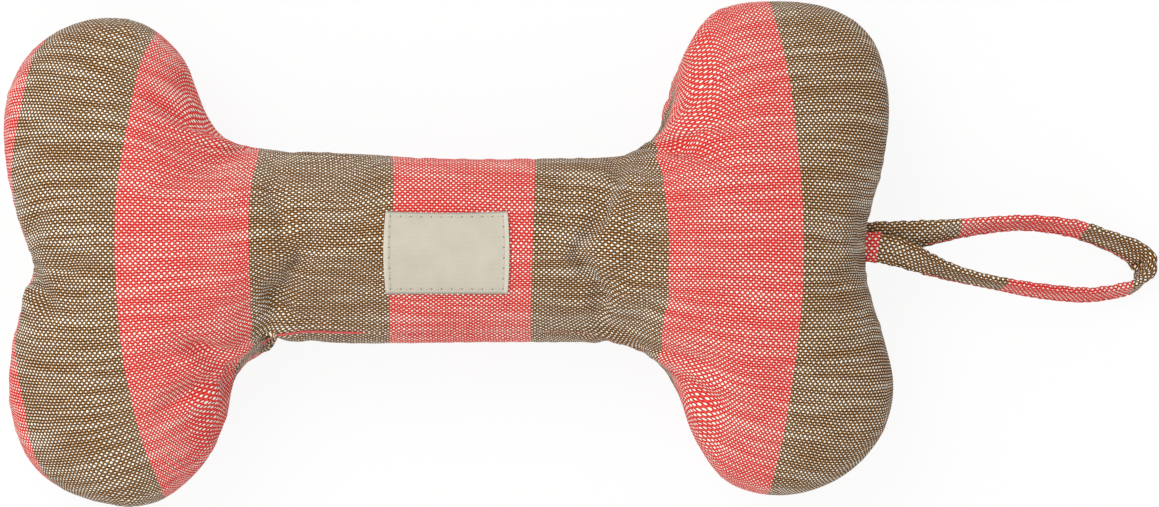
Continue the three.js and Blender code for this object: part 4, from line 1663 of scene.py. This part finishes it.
@dataclass
class SewnLabel:
    """The bare cotton label on the middle of the shaft, its ends folded under, and its stitching."""

    length: float = 40.0
    width: float = 27.3
    middle: tuple[float, float] = (0.35, 0.3)
    thickness: float = 0.6
    hem: float = 1.8
    cell: float = 0.8
    end_bow: float = 0.7
    side_sag: float = 0.5
    fold_rise: float = 0.45
    gap: float = 0.15
    stitch_columns: int = 11
    stitch_rows: int = 7
    stitch_frame: tuple[float, float] = (18.4, 12.0)

    def build(self, bone: StuffedBone, stitches: StitchRun) -> None:
        """Makes and dresses the label and its stitching.

        Args:
            bone: The stuffed bone that carries it.
            stitches: The stitch tree.
        """
        ground = bone.surface()
        label = self.tape(ground)
        finish = LabelCotton(
            self.length / 2, self.width / 2, (self.stitch_columns, self.stitch_rows), self.stitch_frame
        )
        label.data.materials.append(finish.material())
        seat(label, "bone", "label_cotton", "label")
        seat(self.stitching(ground, stitches), "bone", "label_thread", "label_stitching")

    def tape(self, ground: BVHTree) -> bpy.types.Object:
        """Lays the label's tape on the cloth.

        Args:
            ground: The bone's cloth.

        Returns:
            The tape, with its thickness.
        """
        columns = np.linspace(-1, 1, int(self.length / self.cell) + 1)
        rows = np.linspace(-1, 1, int(self.width / self.cell) + 1)
        grid = np.array([(column, row) for row in rows for column in columns])
        places = np.array([self.place(ground, column, row) for column, row in grid])
        wide = len(columns)
        corners = [r * wide + c for r in range(len(rows) - 1) for c in range(wide - 1)]
        faces = [(n, n + 1, n + wide + 1, n + wide) for n in corners]
        label = make_object("sewn_label", places, faces, grid * (self.length / 2, self.width / 2))
        thick = label.modifiers.new("thick", "SOLIDIFY")
        thick.thickness = self.thickness * MM
        thick.offset = -1
        soft = label.modifiers.new("soft", "BEVEL")
        soft.width = 0.15 * MM
        soft.segments = 2
        soft.limit_method = "ANGLE"
        bake_modifiers(label)
        return label

    def stitching(self, ground: BVHTree, stitches: StitchRun) -> bpy.types.Object:
        """Sews the label down along its four sides.

        Args:
            ground: The bone's cloth.
            stitches: The stitch tree.

        Returns:
            The stitches, as one piece.
        """
        x, y = self.stitch_frame[0] / (self.length / 2), self.stitch_frame[1] / (self.width / 2)
        corners = np.array([(-x, -y), (x, -y), (x, y), (-x, y)])
        counts = (self.stitch_columns, self.stitch_rows) * 2
        thread = LABEL_THREAD.material()
        sides = []
        for start, end, count in zip(corners, np.roll(corners, -1, axis=0), counts):
            shares = np.linspace(0.5 / count, 1 - 0.5 / count, 40)
            path = np.array([self.place(ground, *(start + (end - start) * share)) for share in shares])
            pitch = run_length(path)[-1] / (count - 1) - 0.002
            sides.append(stitches.sew(
                "label_stitches", path, thread, pitch=pitch, length=2.7, radius=0.2, seed=9,
            ))
        return join_pieces(sides)

    def place(self, ground: BVHTree, column: float, row: float) -> np.ndarray:
        """A point on the label's upper face.

        Args:
            ground: The bone's cloth.
            column: Share of the half length from the middle.
            row: Share of the half width from the middle.

        Returns:
            The point.
        """
        bow = self.end_bow * (1 - row**2) * np.sign(column) * abs(column) ** 6
        sag = -self.side_sag * (1 - column**2) * max(row, 0) ** 4
        x = self.middle[0] + column * self.length / 2 + bow
        y = self.middle[1] + row * self.width / 2 + sag
        hit = ground.ray_cast(Vector((x, y, 100)), Vector((0, 0, -1)))[0]
        from_end = (1 - abs(column)) * self.length / 2
        fold = self.fold_rise * float(1 - smooth_share(self.hem - 0.5, self.hem, from_end))
        return np.array([x, y, hit.z + (self.thickness + self.gap + fold)])


@dataclass
class HangingLoop:
    """The folded strap that comes out of the end seam in a V and stands on its edge round its eye.

    The route's points are the place along and across from the lift line, the strap's turn about its
    own length in degrees, and its width there. Its stripes change at places along it on the strand
    that leads out and on the one that leads back.
    """

    thickness: float = 2.3
    root_edge: float = 139.426
    root_y: float = 4.0
    lift_offset: float = 3.2
    neck: float = 9.8
    droop_deg: float = 17.26
    layer: float = 1.25
    spacing: float = 1.2
    thread_inset: float = 1.1
    bunching: float = 1.2
    bunched_reach: float = 4.5
    pinch: float = 2.8
    bend_reach: float = 4.5
    lift_reach: float = 4.0
    sway_reach: float = 9.0
    parting: tuple[float, float] = (10.0, 26.0)
    stripes_out: tuple[float, ...] = (-4.0, 30.0, 75.0)
    stripes_back: tuple[float, ...] = (92.0, 46.0, 1.6)
    edge_start: float = 19.8
    route: tuple = (
        (-13.5, 1.3, 0, 9.6), (-6.0, 1.4, 0, 9.8), (0.0, 1.6, 2, 10.0), (6.0, 1.8, 6, 10.0),
        (11.0, 2.1, 12, 9.8), (16.3, 2.6, 22, 9.6), (22.5, 3.4, 38, 9.4), (29.2, 4.3, 50, 9.2),
        (40.4, 5.6, 60, 9.0), (52.3, 6.4, 65, 9.0), (61.8, 5.9, 64, 9.0), (72.7, 4.2, 61, 9.0),
        (83.3, 0.7, 60, 9.2), (91.0, -2.2, 53, 9.8), (95.0, -4.5, 52, 10.4), (97.0, -7.8, 66, 10.6),
        (96.7, -11.4, 96, 10.2), (92.4, -15.3, 112, 9.6), (83.3, -17.2, 114, 9.0),
        (75.6, -17.9, 113, 9.0), (61.8, -16.8, 112, 9.0), (53.0, -15.6, 109, 9.0),
        (46.5, -14.4, 106, 9.0), (38.0, -12.8, 106, 9.0), (30.3, -11.1, 110, 9.2),
        (24.5, -9.5, 117, 9.4), (19.2, -7.7, 127, 9.4), (14.5, -5.9, 139, 9.6),
        (10.6, -4.5, 150, 9.8), (6.0, -3.1, 163, 10.0), (0.0, -2.0, 175, 10.0),
        (-6.0, -1.6, 180, 9.8), (-13.5, -1.5, 180, 9.6),
    )

    def stations(self) -> None:
        """Spaces the strap's sections evenly along its route, level with the seam's plane."""
        run = evenly_spaced(smooth_curve(np.array(self.route), 16, False), self.spacing, False)
        self.middle = np.column_stack([run[:, :2], np.zeros(len(run))])
        self.gone = run_length(self.middle)
        self.turn = np.radians(run[:, 2])
        self.width = run[:, 3]
        self.tip = self.gone[self.middle[:, 0].argmax()]
        apart = smooth_share(*self.parting, run[:, 0])
        first_half = np.arange(len(run)) < len(run) / 2
        self.middle[:, 2] = np.where(first_half, -self.layer, self.layer) * (1 - apart)
        outside = np.flatnonzero(run[:, 0] >= self.neck)
        self.first_crossing, self.second_crossing = int(outside[0]), int(outside[-1])
        along = np.gradient(self.middle[:, :2], axis=0)
        along /= np.linalg.norm(along, axis=1)[:, None]
        side = np.column_stack([-along[:, 1], along[:, 0], np.zeros(len(run))])
        up = np.array([0.0, 0.0, 1.0])
        self.wide = side * np.cos(self.turn)[:, None] + up * np.sin(self.turn)[:, None]
        self.thick = -side * np.sin(self.turn)[:, None] + up * np.cos(self.turn)[:, None]

    def droop(self, places: np.ndarray) -> np.ndarray:
        """Turns the strap down beyond the lift line, easing in over the bend.

        Args:
            places: Places on the level strap.

        Returns:
            Where they come to lie beside the bone.
        """
        share = smooth_share(-self.bend_reach, self.bend_reach, places[:, 0])
        angle = np.radians(self.droop_deg) * share
        x = places[:, 0] * np.cos(angle) + places[:, 2] * np.sin(angle)
        z = -places[:, 0] * np.sin(angle) + places[:, 2] * np.cos(angle)
        return np.column_stack([
            x + self.root_edge + self.lift_offset, places[:, 1] + self.root_y, z,
        ])

    def section(self, width: float, thickness: float) -> list[tuple[float, float]]:
        """The strap's section: a round fold on one edge, and two turned-in layers on the other.

        Args:
            width: The strap's width.
            thickness: Its thickness.

        Returns:
            Places across and through the strap, once round it from inside its turned-in edge.
        """
        half = width / 2
        deep = thickness / 2
        fold = [(half - deep * (1 - math.cos(a)), deep * math.sin(a)) for a in np.linspace(-1.4, 1.4, 7)]
        top = [
            (half * share, deep * (1 + 0.05 * math.sin(9 * share))) for share in (0.55, 0.2, -0.15, -0.5)
        ]
        lip = deep * 0.5
        upper = [
            (-half + lip * (1 - math.cos(a)), lip + lip * math.sin(a)) for a in (1.4, 0.7, 0.0, -0.7)
        ]
        notch = [(-half + 0.9, 0.0)]
        lower = [(across, -through) for across, through in reversed(upper)]
        bottom = [(across, -through) for across, through in reversed(top)]
        return notch + lower + bottom + fold + top + upper

    def sweep(self, start: int, end: int, name: str) -> bpy.types.Object:
        """Makes the stretch of strap between two stations.

        Args:
            start: Number of its first station.
            end: Number of its last station.
            name: The piece's name.

        Returns:
            The stretch.
        """
        places, cloth = [], []
        for number in range(start, end + 1):
            gone = self.gone[number]
            pucker = 1 + 0.03 * math.sin(gone * 1.9) + 0.025 * math.sin(gone * 0.83 + 1)
            from_tip = (gone - self.tip) / self.bunched_reach
            bunched = 1 + self.bunching * math.exp(-(from_tip**2))
            section = self.section(self.width[number] * pucker, self.thickness * bunched)
            steps = np.linalg.norm(np.diff(section, axis=0), axis=1)
            round_it = np.concatenate([[0], np.cumsum(steps)]) - steps.sum() / 2
            for (across, through), passed in zip(section, round_it):
                lifted = self.thick[number] * (through + self.rise(gone, across, through > 0))
                places.append(self.middle[number] + self.wide[number] * across + lifted)
                cloth.append((gone, passed))
        count = end - start + 1
        ring = len(self.section(1.0, 1.0))
        faces = [
            (s * ring + k, s * ring + (k + 1) % ring, (s + 1) * ring + (k + 1) % ring, (s + 1) * ring + k)
            for s in range(count - 1) for k in range(ring)
        ]
        faces.append(tuple(range(ring - 1, -1, -1)))
        faces.append(tuple((count - 1) * ring + k for k in range(ring)))
        thing = make_object(name, self.droop(np.array(places)), faces, np.array(cloth))
        point_outwards(thing)
        return thing

    def rise(self, gone: float, across: float, upper: bool) -> float:
        """How far the strap's cloth stands off its plain section.

        Args:
            gone: Distance along the strap.
            across: Place across it.
            upper: Whether it is the upper layer, which is pinched beside the tip.

        Returns:
            The rise.
        """
        rise = 0.1 * math.sin(gone * 2.1 + across * 0.9) + 0.12 * math.sin(gone * 0.9 - across * 0.5)
        if upper:
            along = (gone - self.tip + 2.4) / 1.5
            rise -= self.pinch * math.exp(-(along**2) - ((across + 1.0) / 2.2) ** 2)
        return rise

    def stripe_edges(self) -> tuple[float, ...]:
        """How far along the strap its stripes change.

        Returns:
            The distances, from its first end.
        """
        leading_out = self.gone < self.gone[-1] / 2
        edges = []
        for strand, stripes in ((leading_out, self.stripes_out), (~leading_out, self.stripes_back)):
            places = np.where(strand, self.middle[:, 0], np.inf)
            edges += [float(self.gone[np.abs(places - along).argmin()]) for along in stripes]
        return tuple(edges)

    def build(self, stitches: StitchRun) -> None:
        """Makes and dresses the strap and its edge thread.

        Args:
            stitches: The stitch tree.
        """
        self.stations()
        first, second, last = self.first_crossing, self.second_crossing, len(self.middle) - 1
        cotton = SlubCotton("loop_slub_cotton", self.stripe_edges()).material()
        under = self.sweep(0, first, "strap_root_under")
        over = self.sweep(second, last, "strap_root_over")
        eye = self.sweep(first, second, "strap_eye")
        for piece in (under, over, eye):
            piece.data.materials.append(cotton)
            log.info("%s: %d faces", piece.name, len(piece.data.polygons))
        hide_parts("loop_neck", "loop_sewn_end_back")
        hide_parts("loop_sewn_end_front")
        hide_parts("hanging_loop")
        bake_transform(under)
        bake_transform(over)
        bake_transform(eye)
        self.sew_edge(stitches)
        log.info("strap: %.0f mm long", self.gone[-1])

    def sew_edge(self, stitches: StitchRun) -> None:
        """Lays the coral thread along the strap's turned-in edge, on the face that shows.

        Args:
            stitches: The stitch tree.
        """
        outside = np.flatnonzero(self.middle[:, 0] > self.edge_start)
        across = -(self.width[outside] / 2 - self.thread_inset)[:, None]
        face = np.where(self.turn[outside] < math.pi / 2, 1, -1)[:, None]
        through = face * (self.thickness / 2 + 0.12)
        path = self.middle[outside] + self.wide[outside] * across + self.thick[outside] * through
        run = stitches.sew(
            "loop_edge_stitches", self.droop(path), CORAL_THREAD.material(),
            pitch=2.6, length=2.2, radius=0.24, seed=13,
        )
        seat(run, "loop", "seam_thread", "loop_edge_thread")


@dataclass
class Squeaker:
    """The squeaker in the shaft, whose solids stay and get their finishes."""

    finishes: dict = field(default_factory=lambda: {
        "squeaker_bulb": VinylFinish(),
        "squeaker_whistle": MouldedPlastic("whistle_white", srgb(242, 242, 240), srgb(226, 226, 224)),
        "squeaker_reed": MouldedPlastic("reed_grey", srgb(206, 210, 214), srgb(180, 186, 192)),
    })

    def dress(self) -> None:
        """Gives each solid its finish."""
        for node, finish in self.finishes.items():
            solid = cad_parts[node]
            solid.data.materials.clear()
            solid.data.materials.append(finish.material())
            log.info("%s dressed", node)


@dataclass
class Studio:
    """The plain pale floor, the soft lights and the camera over the toy."""

    frame_width: float = 386.33
    frame_middle: tuple[float, float] = (44.0, 0.0)
    camera_height: float = 1800.0
    sensor: float = 36.0
    floor_size: float = 3.0
    floor_drop: float = 0.0004
    world_strength: float = 0.66
    lamps: tuple = (
        ("key", (-0.7, 0.75, 1.5), 1.0, 14.5),
        ("fill", (-0.6, -0.9, 1.3), 1.2, 6.5),
    )

    def build(self) -> None:
        """Sets the floor, lights, world and camera."""
        scene = bpy.context.scene
        scene.view_settings.view_transform = "Standard"
        self.floor()
        for name, place, size, power in self.lamps:
            lamp = bpy.data.lights.new(name, "AREA")
            lamp.size = size
            lamp.energy = power
            thing = bpy.data.objects.new(name, lamp)
            thing.location = place
            thing.rotation_euler = (-Vector(place)).to_track_quat("-Z", "Y").to_euler()
            scene.collection.objects.link(thing)
        self.sky(scene)
        lens = bpy.data.cameras.new("camera")
        lens.sensor_width = self.sensor
        lens.lens = self.sensor * self.camera_height / self.frame_width
        lens.clip_end = 20
        camera = bpy.data.objects.new("camera", lens)
        camera.location = Vector((*self.frame_middle, self.camera_height)) * MM + Vector(BONE_PLACE) * MM
        scene.collection.objects.link(camera)
        scene.camera = camera

    def floor(self) -> None:
        """Lays a white floor that keeps the toy's shadow."""
        half = self.floor_size / 2
        mesh = bpy.data.meshes.new("floor")
        corners = [(-half, -half, 0), (half, -half, 0), (half, half, 0), (-half, half, 0)]
        mesh.from_pydata(corners, [], [(0, 1, 2, 3)])
        mesh.transform(Matrix.Translation((0, 0, -self.floor_drop)))
        floor = bpy.data.objects.new("floor", mesh)
        bpy.context.scene.collection.objects.link(floor)
        n = Nodes("studio_floor")
        path = n.node("ShaderNodeLightPath", {}, {})
        seen = path("Is Camera Ray").at_least(path("Is Glossy Ray")).at_least(path("Is Transmission Ray"))
        paint = n.node("ShaderNodeBsdfDiffuse", {}, {"Color": srgb(246, 246, 244)})
        glow = n.node("ShaderNodeEmission", {}, {"Color": (1, 1, 1, 1), "Strength": 1.0})
        both = n.node("ShaderNodeMixShader", {}, {0: seen * 0.9, 1: paint("BSDF"), 2: glow("Emission")})
        n.node("ShaderNodeOutputMaterial", {}, {"Surface": both("Shader")})
        mesh.materials.append(n.material)

    def sky(self, scene: bpy.types.Scene) -> None:
        """Lights the toy evenly and shows white behind it.

        Args:
            scene: The scene that gets the world.
        """
        world = bpy.data.worlds.new("studio")
        world.use_nodes = True
        tree = world.node_tree
        tree.nodes.clear()
        path = tree.nodes.new("ShaderNodeLightPath")
        soft = tree.nodes.new("ShaderNodeBackground")
        soft.inputs["Color"].default_value = (1, 1, 1, 1)
        soft.inputs["Strength"].default_value = self.world_strength
        white = tree.nodes.new("ShaderNodeBackground")
        white.inputs["Color"].default_value = (1, 1, 1, 1)
        both = tree.nodes.new("ShaderNodeMixShader")
        out = tree.nodes.new("ShaderNodeOutputWorld")
        tree.links.new(path.outputs["Is Camera Ray"], both.inputs[0])
        tree.links.new(soft.outputs[0], both.inputs[1])
        tree.links.new(white.outputs[0], both.inputs[2])
        tree.links.new(both.outputs[0], out.inputs[0])
        scene.world = world


def main() -> None:
    """Builds the toy's sub-assemblies in order, and its studio."""
    logging.basicConfig(level=logging.INFO, format="%(name)s: %(message)s")
    Studio().build()
    stitches = StitchRun()
    loop = HangingLoop()
    loop.build(stitches)
    body = SewnBody()
    body.build(stitches)
    SewnLabel().build(body.bone, stitches)
    Squeaker().dress()


if __name__ == "__main__":
    main()
